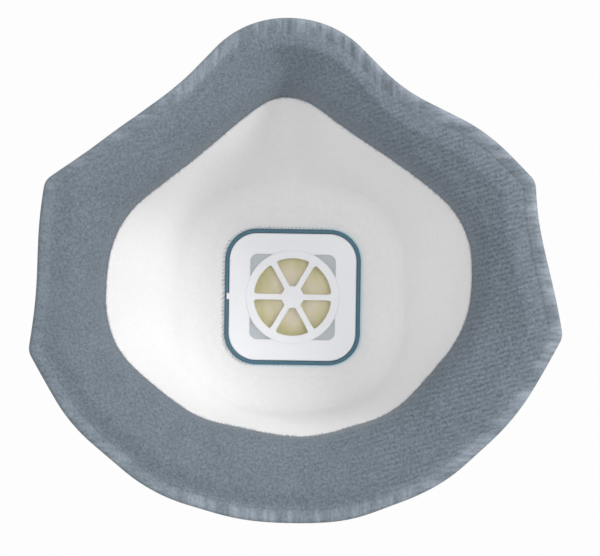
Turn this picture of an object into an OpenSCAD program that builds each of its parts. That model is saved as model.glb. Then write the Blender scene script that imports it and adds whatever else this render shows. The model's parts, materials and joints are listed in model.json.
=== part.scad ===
// Moulded cup dust mask with an exhalation valve and a full face seal.
// +Z is up towards the nose, -Y is the front of the mask, +Y is the wearer's side.
// The origin is the centre of the rim, level with its nose and chin points.

/* [Rim] */
// Width across the rim's lower corners
mask_w = 144; // [120:0.2:176]
// Height of the rim from chin to nose
mask_h = 136.6; // [126:0.2:166]
// How far the rim's sides lie behind its nose and chin
wing_back = 7; // [0:0.5:10]
// Width of the fused and crimped margin
weld_w = 3.4; // [2:0.1:4.5]
// Thickness of the fused margin
weld_t = 2.4; // [1.6:0.1:3]

/* [Cup] */
// Depth from the rim's plane to the inside of the cup's front
cup_depth = 50; // [41:0.5:62]
// Width of the flattened front around the valve's opening
front_margin = 11; // [9:0.1:13]
// How far the edge of that front lies behind its middle
front_crown = 3; // [1:0.5:6]
// How far the flange falls from the rim to the cup's wall
flange_fall = 9; // [4:0.5:13]

/* [Face seal] */
// Width of the seal beside the mouth
seal_side = 22.2; // [16:0.2:25]
// Width of the seal at the nose
seal_nose = 21; // [16:0.2:24]
// Width of the seal at the chin
seal_chin = 22.6; // [16:0.2:24]

/* [Layers] */
// Moulded inner shell
shell_t = 1.6; // [1:0.1:2.4]
// Electret filter layer
filter_t = 0.8; // [0.4:0.1:1.2]
// Coarse prefilter layer
prefilter_t = 0.8; // [0.4:0.1:1.2]
// Outer cover web
cover_t = 0.6; // [0.3:0.1:1]
// Foam of the face seal
foam_t = 2.5; // [1.5:0.1:3.5]
// Fabric of the face seal
fabric_t = 0.8; // [0.5:0.1:1.2]

/* [Valve] */
// Height of the valve's centre above the rim's centre
valve_z = -7.5; // [-10:0.5:-4]
// Width and height of the seat plate
seat_w = 37; // [30.8:0.2:42]
// Corner radius of the seat plate
seat_r = 8; // [5:0.2:10]
// Thickness of the seat plate
seat_t = 1.6; // [1.2:0.1:2.4]
// Diameter of the round port
port_d = 22.7; // [18.9:0.1:27.2]
// Width of the raised ring around the port
ring_w = 2.65; // [2:0.05:3]
// How far the pockets' square lies inside the ring's edge
pocket_inset = 1.6; // [0.8:0.1:1.8]
// Depth of the corner pockets
pocket_depth = 0.7; // [0.3:0.1:0.9]
// Width of a spoke
spoke_w = 1.7; // [1:0.1:2.4]
// Number of spokes
spokes = 6; // [4:1:8]
// Hub, across its flats
hub_w = 6.4; // [5:0.1:8]
// Height of the lip that the diaphragm rests on
lip_h = 1.8; // [1:0.1:2.6]
// Width of that lip
lip_w = 1.2; // [0.8:0.1:1.6]
// Diameter of the hub's pin
pin_d = 2.4; // [1.6:0.1:3]
// Wall of the frame around the seat plate
frame_t = 1.05; // [1:0.05:1.6]
// Width of the frame's outside flange beyond its wall
frame_flange = 3.2; // [2:0.1:4]
// Thickness of that flange
flange_t = 1.2; // [0.8:0.1:1.8]
// Height of the vented cap above the flange
cap_h = 7.4; // [6.4:0.1:10]
// Wall of the cap
cap_t = 1.2; // [0.9:0.1:1.6]
// Width of one vent slot
vent_w = 4; // [3:0.1:5]
// Number of vent slots on a side
vents = 5; // [3:1:5]

/* [Diaphragm] */
// How far the diaphragm reaches past the port
disc_over = 2.25; // [1.8:0.05:2.6]
// Thickness of the diaphragm
disc_t = 0.6; // [0.4:0.1:1]
// Distance that the diaphragm can lift
disc_lift = 1.8; // [1:0.1:2.2]
// Radial clearance between the diaphragm and its pin
pin_gap = 0.06; // [0.03:0.01:0.1]

/* [Nose clip] */
// Width that the clip spans across the nose
clip_span = 72; // [60:1:80]
// Width of the clip
clip_w = 5; // [4:0.1:6]
// Thickness of the clip
clip_t = 0.9; // [0.6:0.1:1.4]
// Distance of the clip from the edge of the rim
clip_inset = 10; // [8:0.5:12]

/* [Headbands] */
// Width of a headband
band_w = 6.4; // [5:0.2:8]
// Thickness of a headband
band_t = 1.2; // [0.8:0.1:1.6]
// Length of a welded band end
end_len = 9; // [7.5:0.5:11]
// Gap between the upper band and the front of the cup
upper_clear = 1.6; // [1:0.1:6]
// Gap between the lower band and the level of the cup's front
lower_clear = 5; // [3:0.1:10]
// Radius of a band's bends
band_bend = 20; // [12:1:26]
// Downward tilt of the lower band when it's folded to the front
lower_tilt = 12; // [10:1:16]
// Gap between the hinge line and the moving band
band_gap = 7; // [6.5:0.5:9]

/* [Hidden] */
$fn = 64;

// Clearance between pieces that fit into each other
fit_gap = 0.1;
// Clearance between the valve's frame and the cut edge of the layers around it
cut_gap = 0.4;
// Glue line under the nose clip
glue_gap = 0.2;
// Depth to which a band's end is pressed into the cover by its weld
end_sink = 0.3;

// ---- Outlines, seen from the front as [x, z, corner radius] ----

half_w = mask_w / 2;
half_h = mask_h / 2;

// The nose is the first corner, the chin the middle one
function both_sides(nose, right, chin) = concat(
    [nose], right, [chin],
    [for (k = [len(right) - 1:-1:0]) [-right[k][0], right[k][1], right[k][2]]]
);

upper_corner = [0.925 * half_w, 0.355 * half_h];
lower_corner = [half_w, -0.315 * half_h];

rim_outline = both_sides(
    [0, 1.186 * half_h, 27],
    [
        [0.42 * half_w, 0.72 * half_h, 50],
        [0.67 * half_w, 0.568 * half_h, 70],
        [upper_corner.x, upper_corner.y, 4],
        [lower_corner.x, lower_corner.y, 4],
        [0.836 * half_w, -0.606 * half_h, 50],
        [0.533 * half_w, -0.883 * half_h, 46]
    ],
    [0, -1.05 * half_h, 75]
);

mouth_side = half_w - seal_side;
mouth_top = half_h - seal_nose;
mouth_bottom = seal_chin - half_h;
mouth_outline = both_sides(
    [0, mouth_top + 3.3, 12],
    [
        [mouth_side, 0.265 * mouth_top, 24],
        [mouth_side, 0.365 * mouth_bottom, 28],
        [0.51 * mouth_side, 0.88 * mouth_bottom, 24]
    ],
    [0, mouth_bottom - 1, 44]
);

// The frame around the seat plate, and the opening cut for it in the layers
body_w = seat_w + 2 * fit_gap + 2 * frame_t;
body_r = seat_r + fit_gap + frame_t;
opening_w = body_w + 2 * cut_gap;
opening_r = body_r + cut_gap;

front_half = opening_w / 2 + front_margin;
front_outline = both_sides(
    [0, valve_z + 1.06 * front_half, 22],
    [
        [front_half, valve_z + 0.84 * front_half, 13],
        [front_half, valve_z - 0.92 * front_half, 14]
    ],
    [0, valve_z - 1.08 * front_half, 60]
);

function square_outline(w, r) = [
    [0, valve_z + w / 2, 0],
    [w / 2, valve_z + w / 2, r],
    [w / 2, valve_z - w / 2, r],
    [-w / 2, valve_z - w / 2, r],
    [-w / 2, valve_z + w / 2, r]
];

// Half of the angle at b between a and c
function half_angle(a, b, c) =
    let (u = [a.x - b.x, a.y - b.y], v = [c.x - b.x, c.y - b.y])
    acos(u * v / norm(u) / norm(v)) / 2;

// Arc that rounds the corner b between a and c
function corner_arc(a, b, c, r) =
    r == 0 ? [[b.x, b.y]] :
    let (
        u = [a.x - b.x, a.y - b.y] / norm([a.x - b.x, a.y - b.y]),
        v = [c.x - b.x, c.y - b.y] / norm([c.x - b.x, c.y - b.y]),
        half = half_angle(a, b, c),
        centre = [b.x, b.y] + (u + v) / norm(u + v) * r / sin(half),
        start = [b.x, b.y] + u * r / tan(half) - centre,
        side = u.x * v.y - u.y * v.x > 0 ? -1 : 1,
        turn = 180 - 2 * half,
        steps = max(2, ceil(turn / 24), ceil(turn * r / 460))
    )
    [for (k = [0:steps])
        let (a = side * turn * k / steps)
        centre + [start.x * cos(a) - start.y * sin(a), start.x * sin(a) + start.y * cos(a)]];

// Rounds every corner, with smaller radii where two of them don't fit on the side between
function rounded(corners) =
    let (
        n = len(corners),
        before = [for (k = [0:n - 1]) corners[(k + n - 1) % n]],
        after = [for (k = [0:n - 1]) corners[(k + 1) % n]],
        taken = [
            for (k = [0:n - 1])
                corners[k][2] == 0 ? 0 :
                corners[k][2] / tan(half_angle(before[k], corners[k], after[k]))
        ],
        room = [
            for (k = [0:n - 1])
                let (
                    side = norm([after[k].x - corners[k].x, after[k].y - corners[k].y]),
                    wanted = taken[k] + taken[(k + 1) % n]
                )
                wanted > 0.98 * side ? 0.98 * side / wanted : 1
        ]
    )
    [for (k = [0:n - 1])
        each corner_arc(
            before[k], corners[k], after[k],
            corners[k][2] * min(room[k], room[(k + n - 1) % n])
        )];

// Adds points where two neighbours are further apart than step
function divided(path, step) = [
    for (k = [0:len(path) - 1])
        let (
            a = path[k],
            b = path[(k + 1) % len(path)],
            n = max(1, ceil(norm(b - a) / step))
        )
        each [for (s = [0:n - 1]) a + (b - a) * s / n]
];

// Distance from the valve's centre to a closed path in the direction d
function reach(path, d) = max([
    for (k = [0:len(path) - 1])
        let (
            a = path[k] - [0, valve_z],
            b = path[(k + 1) % len(path)] - [0, valve_z],
            e = b - a,
            det = d.x * e.y - d.y * e.x,
            t = abs(det) < 1e-9 ? -1 : (a.x * e.y - a.y * e.x) / det,
            s = abs(det) < 1e-9 ? -1 : (a.x * d.y - a.y * d.x) / det
        )
        s >= -1e-6 && s <= 1 + 1e-6 ? t : 0
]);

// ---- The cup's inner surface as a grid of columns and rows ----

rim_path = divided(rounded(rim_outline), 9.5);
mouth_path = rounded(mouth_outline);
front_path = rounded(front_outline);
opening_path = rounded(square_outline(opening_w, opening_r));

columns = len(rim_path);
directions = [for (p = rim_path) (p - [0, valve_z]) / norm(p - [0, valve_z])];

// The rim's height: its sides lie behind its nose and chin
function rim_y(d) = wing_back * pow(abs(d.x), 1.6);

// Rounds the corner b of a profile with a curve that starts cut away from it, or nearer
// where the profile beside it is short
function eased(a, b, c, cut, steps) =
    let (
        before = min(cut, 0.8 * norm(a - b)),
        after = min(cut, 0.45 * norm(c - b)),
        p = b + (a - b) / norm(a - b) * before,
        q = b + (c - b) / norm(c - b) * after
    )
    [for (k = [0:steps])
        let (t = k / steps) (1 - t) * (1 - t) * p + 2 * t * (1 - t) * b + t * t * q];

front_cut = 8;
foot_cut = 4;
flat_w = frame_flange - cut_gap + 0.6;

// One column's profile as [distance from the valve's axis, y], from the opening to the rim
function profile(i) =
    let (
        d = directions[i],
        r_open = reach(opening_path, d),
        r_front = reach(front_path, d),
        r_mouth = reach(mouth_path, d),
        r_rim = norm(rim_path[i] - [0, valve_z]),
        y_rim = rim_y(d),
        y_foot = y_rim - flange_fall,
        drop = y_foot + cup_depth - front_crown,
        lean = (r_mouth - r_front) / norm([r_mouth - r_front, drop]),
        opening = [r_open, -cup_depth],
        flat_end = [r_open + flat_w, -cup_depth],
        edge = [r_front, front_crown - cup_depth],
        foot = [r_mouth + lean * foot_cut, y_foot],
        rim = [r_rim, y_rim],
        weld = rim + (foot - rim) / norm(foot - rim) * weld_w,
        front_curve = eased(flat_end, edge, foot, front_cut, 3),
        foot_curve = eased(edge, foot, rim, foot_cut, 3)
    )
    concat(
        [opening, flat_end],
        front_curve,
        [(front_curve[3] + foot_curve[0]) / 2],
        foot_curve,
        [for (t = [0.4, 0.8]) foot_curve[3] + (weld - foot_curve[3]) * t],
        [weld, rim]
    );

profiles = [for (i = [0:columns - 1]) profile(i)];

ROW_SEAL = 7;
ROW_FOOT = 10;
ROW_WELD = 13;
ROW_RIM = 14;

function inner_point(i, j) =
    let (k = (i + columns) % columns, p = profiles[k][j], d = directions[k])
    [p.x * d.x, p.y, valve_z + p.x * d.y];

// Unit normal that points out of the cup
function outward(i, j) =
    let (
        along = inner_point(i + 1, j) - inner_point(i - 1, j),
        across = inner_point(i, min(j + 1, ROW_RIM)) - inner_point(i, max(j - 1, 0)),
        n = cross(along, across)
    )
    n / norm(n);

normals = [for (i = [0:columns - 1]) [for (j = [0:ROW_RIM]) outward(i, j)]];

function at(i, j, off) = inner_point(i, j) + normals[(i + columns) % columns][j] * off;

// A closed slab between two offsets of that surface, given for each of its rows
module slab(first, last, low, high) {
    rows = last - first + 1;
    ring = columns * rows;
    function id(side, i, j) = side * ring + (i % columns) * rows + j;
    points = [
        for (side = [low, high])
            for (i = [0:columns - 1])
                for (j = [0:rows - 1])
                    at(i, first + j, side[j])
    ];
    faces = [
        for (i = [0:columns - 1]) each [
            for (j = [0:rows - 2]) each [
                [id(0, i, j), id(0, i + 1, j + 1), id(0, i + 1, j)],
                [id(0, i, j), id(0, i, j + 1), id(0, i + 1, j + 1)],
                [id(1, i, j), id(1, i + 1, j), id(1, i + 1, j + 1)],
                [id(1, i, j), id(1, i + 1, j + 1), id(1, i, j + 1)]
            ],
            [id(0, i, 0), id(1, i + 1, 0), id(1, i, 0)],
            [id(0, i, 0), id(0, i + 1, 0), id(1, i + 1, 0)],
            [id(0, i, rows - 1), id(1, i, rows - 1), id(1, i + 1, rows - 1)],
            [id(0, i, rows - 1), id(1, i + 1, rows - 1), id(0, i + 1, rows - 1)]
        ]
    ];
    polyhedron(points, faces, convexity = 8);
}

// Offset of a layer's face: full on the cup, pressed thin where it enters the weld
stack_t = shell_t + filter_t + prefilter_t + cover_t;
weld_out = 0.58 * weld_t;
weld_in = weld_t - weld_out;

function layer_face(off) = [
    for (j = [0:ROW_WELD]) j < ROW_WELD ? off : off / stack_t * weld_out
];

// Depth of the face seal's foam over its rows: skived at the mouth, pressed at the weld
function foam_face() = [
    for (j = [ROW_SEAL:ROW_WELD])
        let (k = j - ROW_SEAL)
        k == 0 ? -0.3 :
        k == 1 ? -0.55 * foam_t :
        k == 2 ? -0.9 * foam_t :
        j == ROW_WELD ? -0.72 * weld_in : -foam_t
];

function fabric_face() = [
    for (j = [ROW_SEAL:ROW_WELD])
        j == ROW_WELD ? -weld_in : foam_face()[j - ROW_SEAL] - fabric_t
];

module layer(from, thickness) {
    slab(0, ROW_WELD, layer_face(from), layer_face(from + thickness));
}

// ---- Cup ----

module inner_shell() {
    color("white") layer(0, shell_t);
}

module filter_media() {
    color("whitesmoke") layer(shell_t, filter_t);
}

module prefilter() {
    color("gainsboro") layer(shell_t + filter_t, prefilter_t);
}

module outer_cover() {
    color("lightsteelblue") layer(shell_t + filter_t + prefilter_t, cover_t);
}

module rim_weld() {
    color([0.6, 0.65, 0.69])
        slab(ROW_WELD, ROW_RIM, [-weld_in, -weld_in], [weld_out, weld_out]);
}

module seal_foam() {
    color("lightgray")
        slab(ROW_SEAL, ROW_WELD, foam_face(), [for (j = [ROW_SEAL:ROW_WELD]) 0]);
}

module seal_fabric() {
    color([0.5, 0.55, 0.59]) slab(ROW_SEAL, ROW_WELD, fabric_face(), foam_face());
}

// Point on the outside of the flange, at a distance from the rim, raised off the cover
function flange_point(i, from_rim, raised) =
    let (
        k = (i + columns) % columns,
        rim = profiles[k][ROW_RIM],
        foot = profiles[k][ROW_FOOT],
        p = rim + (foot - rim) / norm(foot - rim) * from_rim,
        d = directions[k]
    )
    [p.x * d.x, p.y, valve_z + p.x * d.y] + normals[k][ROW_FOOT + 1] * (stack_t + raised);

// The clip runs along the top of the flange, at a steady distance from its edge
module nose_clip() {
    spanned = [
        for (i = [-columns / 2:columns / 2])
            if (abs(flange_point(i, clip_inset, 0).x) < clip_span / 2
                && flange_point(i, clip_inset, 0).z > 0) i
    ];
    n = len(spanned);
    points = [
        for (i = spanned) each [
            flange_point(i, clip_inset, glue_gap),
            flange_point(i, clip_inset + clip_w, glue_gap),
            flange_point(i, clip_inset + clip_w, glue_gap + clip_t),
            flange_point(i, clip_inset, glue_gap + clip_t)
        ]
    ];
    faces = [
        [0, 1, 2, 3],
        for (k = [0:n - 2]) each [
            for (c = [0:3])
                [4 * k + c, 4 * k + 4 + c, 4 * k + 4 + (c + 1) % 4, 4 * k + (c + 1) % 4]
        ],
        [4 * n - 1, 4 * n - 2, 4 * n - 3, 4 * n - 4]
    ];
    color("silver") polyhedron(points, faces, convexity = 4);
}

// ---- Valve: its places along Y, from the inside out ----

seat_back = -cup_depth + 1;
seat_front = seat_back - seat_t;
disc_back = seat_front - lip_h;
disc_front = disc_back - disc_t;
flange_back = -cup_depth - stack_t;
flange_front = flange_back - flange_t;
cap_front = flange_front - cap_h;
cap_w = body_w + 2 * fit_gap + 2 * cap_t;
cap_r = body_r + fit_gap + cap_t;
cap_face_w = cap_w - 6;
upstand = 3;
post_d = 5;
ring_d = port_d + 2 * ring_w;
pocket_r = 2.2;
tab_w = 2;
tab_root = 0.4;
tab_proud = 0.3;

module rounded_square(w, r) {
    square([w, w - 2 * r], center = true);
    square([w - 2 * r, w], center = true);
    for (x = [-1, 1], z = [-1, 1])
        translate([x * (w / 2 - r), z * (w / 2 - r)]) circle(r = r);
}

// Solid between two places along Y, from an outline centred on the valve
module valve_solid(back, front) {
    translate([0, back, valve_z]) rotate([90, 0, 0]) linear_extrude(height = back - front)
        children();
}

module hexagon(flats) {
    circle(r = flats / 2 / cos(30), $fn = 6);
}

module valve_seat() {
    color("white") {
        difference() {
            valve_solid(seat_back, seat_front) rounded_square(seat_w, seat_r);
            valve_solid(seat_back + 1, seat_front - 1) circle(d = port_d);
            valve_solid(seat_back + 1, seat_back - pocket_depth) difference() {
                rounded_square(ring_d - 2 * pocket_inset, pocket_r);
                circle(d = ring_d);
            }
        }
        // Spokes and hub
        valve_solid(seat_back, seat_front) {
            for (k = [0:spokes - 1])
                rotate(360 / spokes * k) translate([hub_w / 2 - 0.3, -spoke_w / 2])
                    square([port_d / 2 - hub_w / 2 + 0.6, spoke_w]);
            hexagon(hub_w);
        }
        // Lip that the diaphragm closes against
        valve_solid(seat_front, disc_back) difference() {
            circle(d = port_d + 2 * lip_w);
            circle(d = port_d);
        }
        valve_solid(seat_front, disc_front - disc_lift / 2) circle(d = pin_d);
        // Moulding tab at the middle of one side
        translate([seat_w / 2 - tab_root, seat_front + tab_proud, valve_z - tab_w / 2])
            cube([tab_root + fit_gap + frame_t + fit_gap, seat_t, tab_w]);
    }
}

module valve_body() {
    color([0.27, 0.45, 0.53]) difference() {
        union() {
            valve_solid(seat_back, flange_back - upstand) rounded_square(body_w, body_r);
            valve_solid(flange_back, flange_front)
                rounded_square(body_w + 2 * frame_flange, body_r + frame_flange);
        }
        valve_solid(seat_back + 1, seat_front)
            rounded_square(seat_w + 2 * fit_gap, seat_r + fit_gap);
        valve_solid(seat_front + 1, flange_back - upstand - 1)
            rounded_square(seat_w - 2, seat_r - 1);
        // Notch that the seat's tab drops into
        translate([seat_w / 2 - tab_root, seat_front + tab_proud - fit_gap, valve_z - tab_w / 2 - fit_gap])
            cube([tab_root + 2 * frame_t, seat_t + 2, tab_w + 2 * fit_gap]);
    }
}

module diaphragm() {
    color([0.8, 0.77, 0.6]) valve_solid(disc_back, disc_front) difference() {
        circle(d = port_d + 2 * disc_over);
        circle(d = pin_d + 2 * pin_gap);
    }
}

module valve_cover() {
    pitch = (cap_face_w - 4) / vents;
    vent_h = cap_h - upstand - 1.4;
    color([0.3, 0.5, 0.58]) {
        difference() {
            valve_solid(flange_front, cap_front) rounded_square(cap_w, cap_r);
            valve_solid(flange_front + 1, cap_front + cap_t)
                rounded_square(body_w + 2 * fit_gap, body_r + fit_gap);
            // Vent slots on the four sides, clear of the upstand inside
            for (turn = [0, 90, 180, 270])
                translate([0, cap_front + cap_t + vent_h / 2, valve_z]) rotate([0, turn, 0])
                    for (k = [0:vents - 1])
                        translate([(k - (vents - 1) / 2) * pitch, 0, cap_w / 2])
                            cube([vent_w, vent_h, 3 * cap_t], center = true);
        }
        // Post that stops the diaphragm's lift
        valve_solid(disc_front - disc_lift - 0.3, cap_front + cap_t / 2) difference() {
            circle(d = post_d);
            circle(d = pin_d + 0.6);
        }
    }
}

// ---- Headbands: each is a loop that swings about its ends ----

upper_x = upper_corner.x - 3.2;
upper_z = upper_corner.y - 0.8;
lower_x = lower_corner.x - 3.6;
lower_z = lower_corner.y - 2.5;
hinge_y = wing_back - weld_out;
upper_reach = hinge_y + cup_depth + stack_t + upper_clear;
lower_reach = (hinge_y + cup_depth + stack_t + lower_clear) / cos(lower_tilt);

// A loop's outline: open at its hinge line and rounded where it turns across
module band_outline(half, long) {
    difference() {
        intersection() {
            translate([-half, -long]) square([2 * half, 2 * long]);
            union() {
                translate([-half, 0]) square([2 * half, long - band_bend]);
                translate([-half + band_bend, 0]) square([2 * (half - band_bend), long]);
                for (x = [-1, 1])
                    translate([x * (half - band_bend), long - band_bend])
                        circle(r = band_bend);
            }
        }
        translate([-half + band_t, -1]) square([2 * (half - band_t), long - band_bend + 1]);
        translate([-half + band_bend, -1])
            square([2 * (half - band_bend), long - band_t + 1]);
        for (x = [-1, 1])
            translate([x * (half - band_bend), long - band_bend])
                circle(r = band_bend - band_t);
        translate([-half - 1, -long]) square([2 * half + 2, long + band_gap]);
    }
}

module headband(half, long, z, tilt) {
    color("silver") translate([0, hinge_y, z]) rotate([180 + tilt, 0, 0])
        linear_extrude(height = band_w, center = true) band_outline(half, long);
}

module upper_headband() {
    headband(upper_x, upper_reach, upper_z, 0);
}

module lower_headband() {
    headband(lower_x, lower_reach, lower_z, lower_tilt);
}

// A band's end, welded flat to the outside of the flange below its hinge line
module band_end(side, corner, z) {
    from_rim = 2 * weld_w + end_len / 2;
    d = [corner.x - from_rim, z - valve_z] / norm([corner.x - from_rim, z - valve_z]);
    likeness = [for (i = [0:columns - 1]) directions[i] * d];
    i = search(max(likeness), likeness)[0];
    n = normals[i][ROW_FOOT + 1];
    place = flange_point(i, from_rim, 0);
    color("silver") mirror([side < 0 ? 1 : 0, 0, 0]) translate(place)
        rotate([-asin(n.z), 0, atan2(n.x, -n.y)])
            translate([-end_len / 2, -band_t, -band_w / 2])
                cube([end_len, band_t + end_sink, band_w]);
}

module upper_band_end_left() {
    band_end(1, upper_corner, upper_z - band_w / 2);
}

module upper_band_end_right() {
    band_end(-1, upper_corner, upper_z - band_w / 2);
}

module lower_band_end_left() {
    band_end(1, lower_corner, lower_z + band_w / 2);
}

module lower_band_end_right() {
    band_end(-1, lower_corner, lower_z + band_w / 2);
}

inner_shell();
filter_media();
prefilter();
outer_cover();
rim_weld();
seal_foam();
seal_fabric();
nose_clip();
valve_seat();
valve_body();
diaphragm();
valve_cover();
upper_headband();
lower_headband();
upper_band_end_left();
upper_band_end_right();
lower_band_end_left();
lower_band_end_right();
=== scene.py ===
import json
import math
import bpy
import bmesh
import numpy as np
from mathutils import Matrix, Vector
from mathutils.geometry import delaunay_2d_cdt


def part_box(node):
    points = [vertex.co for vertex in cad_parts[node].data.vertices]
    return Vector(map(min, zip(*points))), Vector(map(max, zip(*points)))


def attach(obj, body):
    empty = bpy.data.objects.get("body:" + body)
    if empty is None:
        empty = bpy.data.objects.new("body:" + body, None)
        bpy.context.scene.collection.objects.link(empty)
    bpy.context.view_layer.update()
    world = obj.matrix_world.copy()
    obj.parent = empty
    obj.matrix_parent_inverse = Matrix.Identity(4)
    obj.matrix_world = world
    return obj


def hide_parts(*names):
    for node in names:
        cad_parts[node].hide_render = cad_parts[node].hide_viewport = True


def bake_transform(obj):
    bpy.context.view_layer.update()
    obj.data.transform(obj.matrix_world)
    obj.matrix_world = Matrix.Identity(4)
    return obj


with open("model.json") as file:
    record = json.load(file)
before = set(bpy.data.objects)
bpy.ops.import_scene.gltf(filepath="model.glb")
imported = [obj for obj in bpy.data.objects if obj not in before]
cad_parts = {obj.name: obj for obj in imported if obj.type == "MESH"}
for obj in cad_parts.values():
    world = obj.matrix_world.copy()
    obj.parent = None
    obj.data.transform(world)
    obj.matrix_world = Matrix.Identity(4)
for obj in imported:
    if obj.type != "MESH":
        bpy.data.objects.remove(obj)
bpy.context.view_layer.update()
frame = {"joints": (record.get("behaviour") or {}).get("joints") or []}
mm = 0.001
rng = np.random.default_rng(11)
scene = bpy.context.scene
scene.view_settings.view_transform = "Standard"


def low(node):
    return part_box(node)[0] / mm


def high(node):
    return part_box(node)[1] / mm


def smooth(t):
    t = np.clip(t, 0, 1)
    return t * t * (3 - 2 * t)


def unit(vectors):
    return vectors / np.linalg.norm(vectors, axis=-1, keepdims=True)


def runLength(line):
    return np.concatenate([[0], np.cumsum(np.linalg.norm(np.diff(line, axis=0), axis=1))])


def spin(loop, angle):
    c, s = math.cos(angle), math.sin(angle)
    return np.stack([loop[:, 0] * c - loop[:, 1] * s, loop[:, 0] * s + loop[:, 1] * c], 1)


def oval(count, sideways, upward):
    angle = np.linspace(0, 2 * math.pi, count, endpoint=False)  # powers below 1 square it off
    c, s = np.cos(angle), np.sin(angle)
    return np.sign(c) * np.abs(c) ** sideways, np.sign(s) * np.abs(s) ** upward


# Materials

def groupNode(name, sockets, outputs, build):
    tree = bpy.data.node_groups.new(name, "ShaderNodeTree")
    for label, kind, value in sockets:
        made = tree.interface.new_socket(label, in_out="INPUT", socket_type=kind)
        made.default_value = value
    for label, kind in outputs:
        tree.interface.new_socket(label, in_out="OUTPUT", socket_type=kind)
    entry = tree.nodes.new("NodeGroupInput")
    leave = tree.nodes.new("NodeGroupOutput")
    build(tree, entry, leave)
    return tree


def addNode(tree, kind, inputs=None, **settings):
    node = tree.nodes.new(kind)
    for key, value in settings.items():
        setattr(node, key, value)
    for key, value in (inputs or {}).items():
        if isinstance(value, bpy.types.NodeSocket):
            tree.links.new(value, node.inputs[key])
        else:
            node.inputs[key].default_value = value
    return node


def math2(tree, operation, a, b):
    return addNode(tree, "ShaderNodeMath", {0: a, 1: b}, operation=operation).outputs[0]


def buildKnit(tree, entry, leave):
    place = addNode(tree, "ShaderNodeMapping", {
        "Vector": entry.outputs["Vector"], "Rotation": (0, math.radians(-17), 0),
    })
    drawn = addNode(tree, "ShaderNodeMapping", {"Vector": place.outputs[0], "Scale": (0.4, 1, 1)})
    courses = addNode(tree, "ShaderNodeTexWave", {
        "Vector": place.outputs[0], "Scale": math2(tree, "MULTIPLY", entry.outputs["Courses"], 0.18),
        "Distortion": 2.6, "Detail": 2.0, "Detail Scale": 1.6,
    }, bands_direction="Z")
    dashes = addNode(tree, "ShaderNodeTexNoise", {
        "Vector": drawn.outputs[0], "Scale": entry.outputs["Courses"], "Detail": 1.5,
        "Roughness": 0.5,
    })
    fuzz = addNode(tree, "ShaderNodeTexNoise", {
        "Vector": place.outputs[0], "Scale": entry.outputs["Fuzz"], "Detail": 3.0, "Roughness": 0.6,
    })
    lines = math2(tree, "MULTIPLY", math2(tree, "SUBTRACT", courses.outputs["Fac"], 0.5), 0.24)
    rows = math2(tree, "MULTIPLY_ADD", math2(tree, "SUBTRACT", dashes.outputs["Fac"], 0.5), 0.6)
    tree.links.new(lines, rows.node.inputs[2])
    rows = math2(tree, "MULTIPLY", rows, entry.outputs["Ribs"])
    total = math2(tree, "ADD", rows, fuzz.outputs["Fac"])
    tree.links.new(total, leave.inputs["Height"])


def buildMottle(tree, entry, leave):
    fine = addNode(tree, "ShaderNodeTexNoise", {
        "Vector": entry.outputs["Vector"], "Scale": entry.outputs["Fine"], "Detail": 3.0,
        "Roughness": 0.6,
    })
    broad = addNode(tree, "ShaderNodeTexNoise", {
        "Vector": entry.outputs["Vector"], "Scale": entry.outputs["Broad"], "Detail": 2.0,
    })
    pins = addNode(tree, "ShaderNodeTexVoronoi", {
        "Vector": entry.outputs["Vector"], "Scale": entry.outputs["Fine"],
    })
    a = math2(tree, "MULTIPLY", fine.outputs["Fac"], 0.55)
    b = math2(tree, "MULTIPLY_ADD", broad.outputs["Fac"], 0.3)
    tree.links.new(a, b.node.inputs[2])
    c = math2(tree, "MULTIPLY_ADD", pins.outputs["Distance"], 0.3)
    tree.links.new(b, c.node.inputs[2])
    tree.links.new(c, leave.inputs["Mask"])


def buildPlastic(tree, entry, leave):
    grain = addNode(tree, "ShaderNodeTexNoise", {
        "Vector": entry.outputs["Vector"], "Scale": 2600.0, "Detail": 2.0,
    })
    wear = addNode(tree, "ShaderNodeTexNoise", {
        "Vector": entry.outputs["Vector"], "Scale": 90.0, "Detail": 3.0,
    })
    rough = addNode(tree, "ShaderNodeMapRange", {
        "Value": wear.outputs["Fac"], "To Min": entry.outputs["Smoothest"],
        "To Max": entry.outputs["Roughest"],
    })
    tree.links.new(grain.outputs["Fac"], leave.inputs["Height"])
    tree.links.new(rough.outputs[0], leave.inputs["Roughness"])


vectorIn = ("Vector", "NodeSocketVector", (0, 0, 0))
knitGroup = groupNode("knit", [
    vectorIn, ("Courses", "NodeSocketFloat", 1300.0), ("Fuzz", "NodeSocketFloat", 1500.0),
    ("Ribs", "NodeSocketFloat", 0.9),
], [("Height", "NodeSocketFloat")], buildKnit)
mottleGroup = groupNode("mottle", [
    vectorIn, ("Fine", "NodeSocketFloat", 1500.0), ("Broad", "NodeSocketFloat", 120.0),
], [("Mask", "NodeSocketFloat")], buildMottle)
plasticGroup = groupNode("mouldedPlastic", [
    vectorIn, ("Smoothest", "NodeSocketFloat", 0.3), ("Roughest", "NodeSocketFloat", 0.42),
], [("Height", "NodeSocketFloat"), ("Roughness", "NodeSocketFloat")], buildPlastic)


def useGroup(tree, group, inputs):
    return addNode(tree, "ShaderNodeGroup", inputs, node_tree=group)


def newMaterial(name, **values):
    material = bpy.data.materials.new(name)
    material.use_nodes = True
    tree = material.node_tree
    shader = tree.nodes["Principled BSDF"]
    for key, value in values.items():
        shader.inputs[key.replace("_", " ")].default_value = value
    spot = addNode(tree, "ShaderNodeTexCoord").outputs["Object"]
    return material, tree, shader, spot


def bump(tree, shader, height, distance, strength=1.0):
    node = addNode(tree, "ShaderNodeBump", {
        "Height": height, "Distance": distance * mm, "Strength": strength,
    })
    tree.links.new(node.outputs[0], shader.inputs["Normal"])


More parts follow.
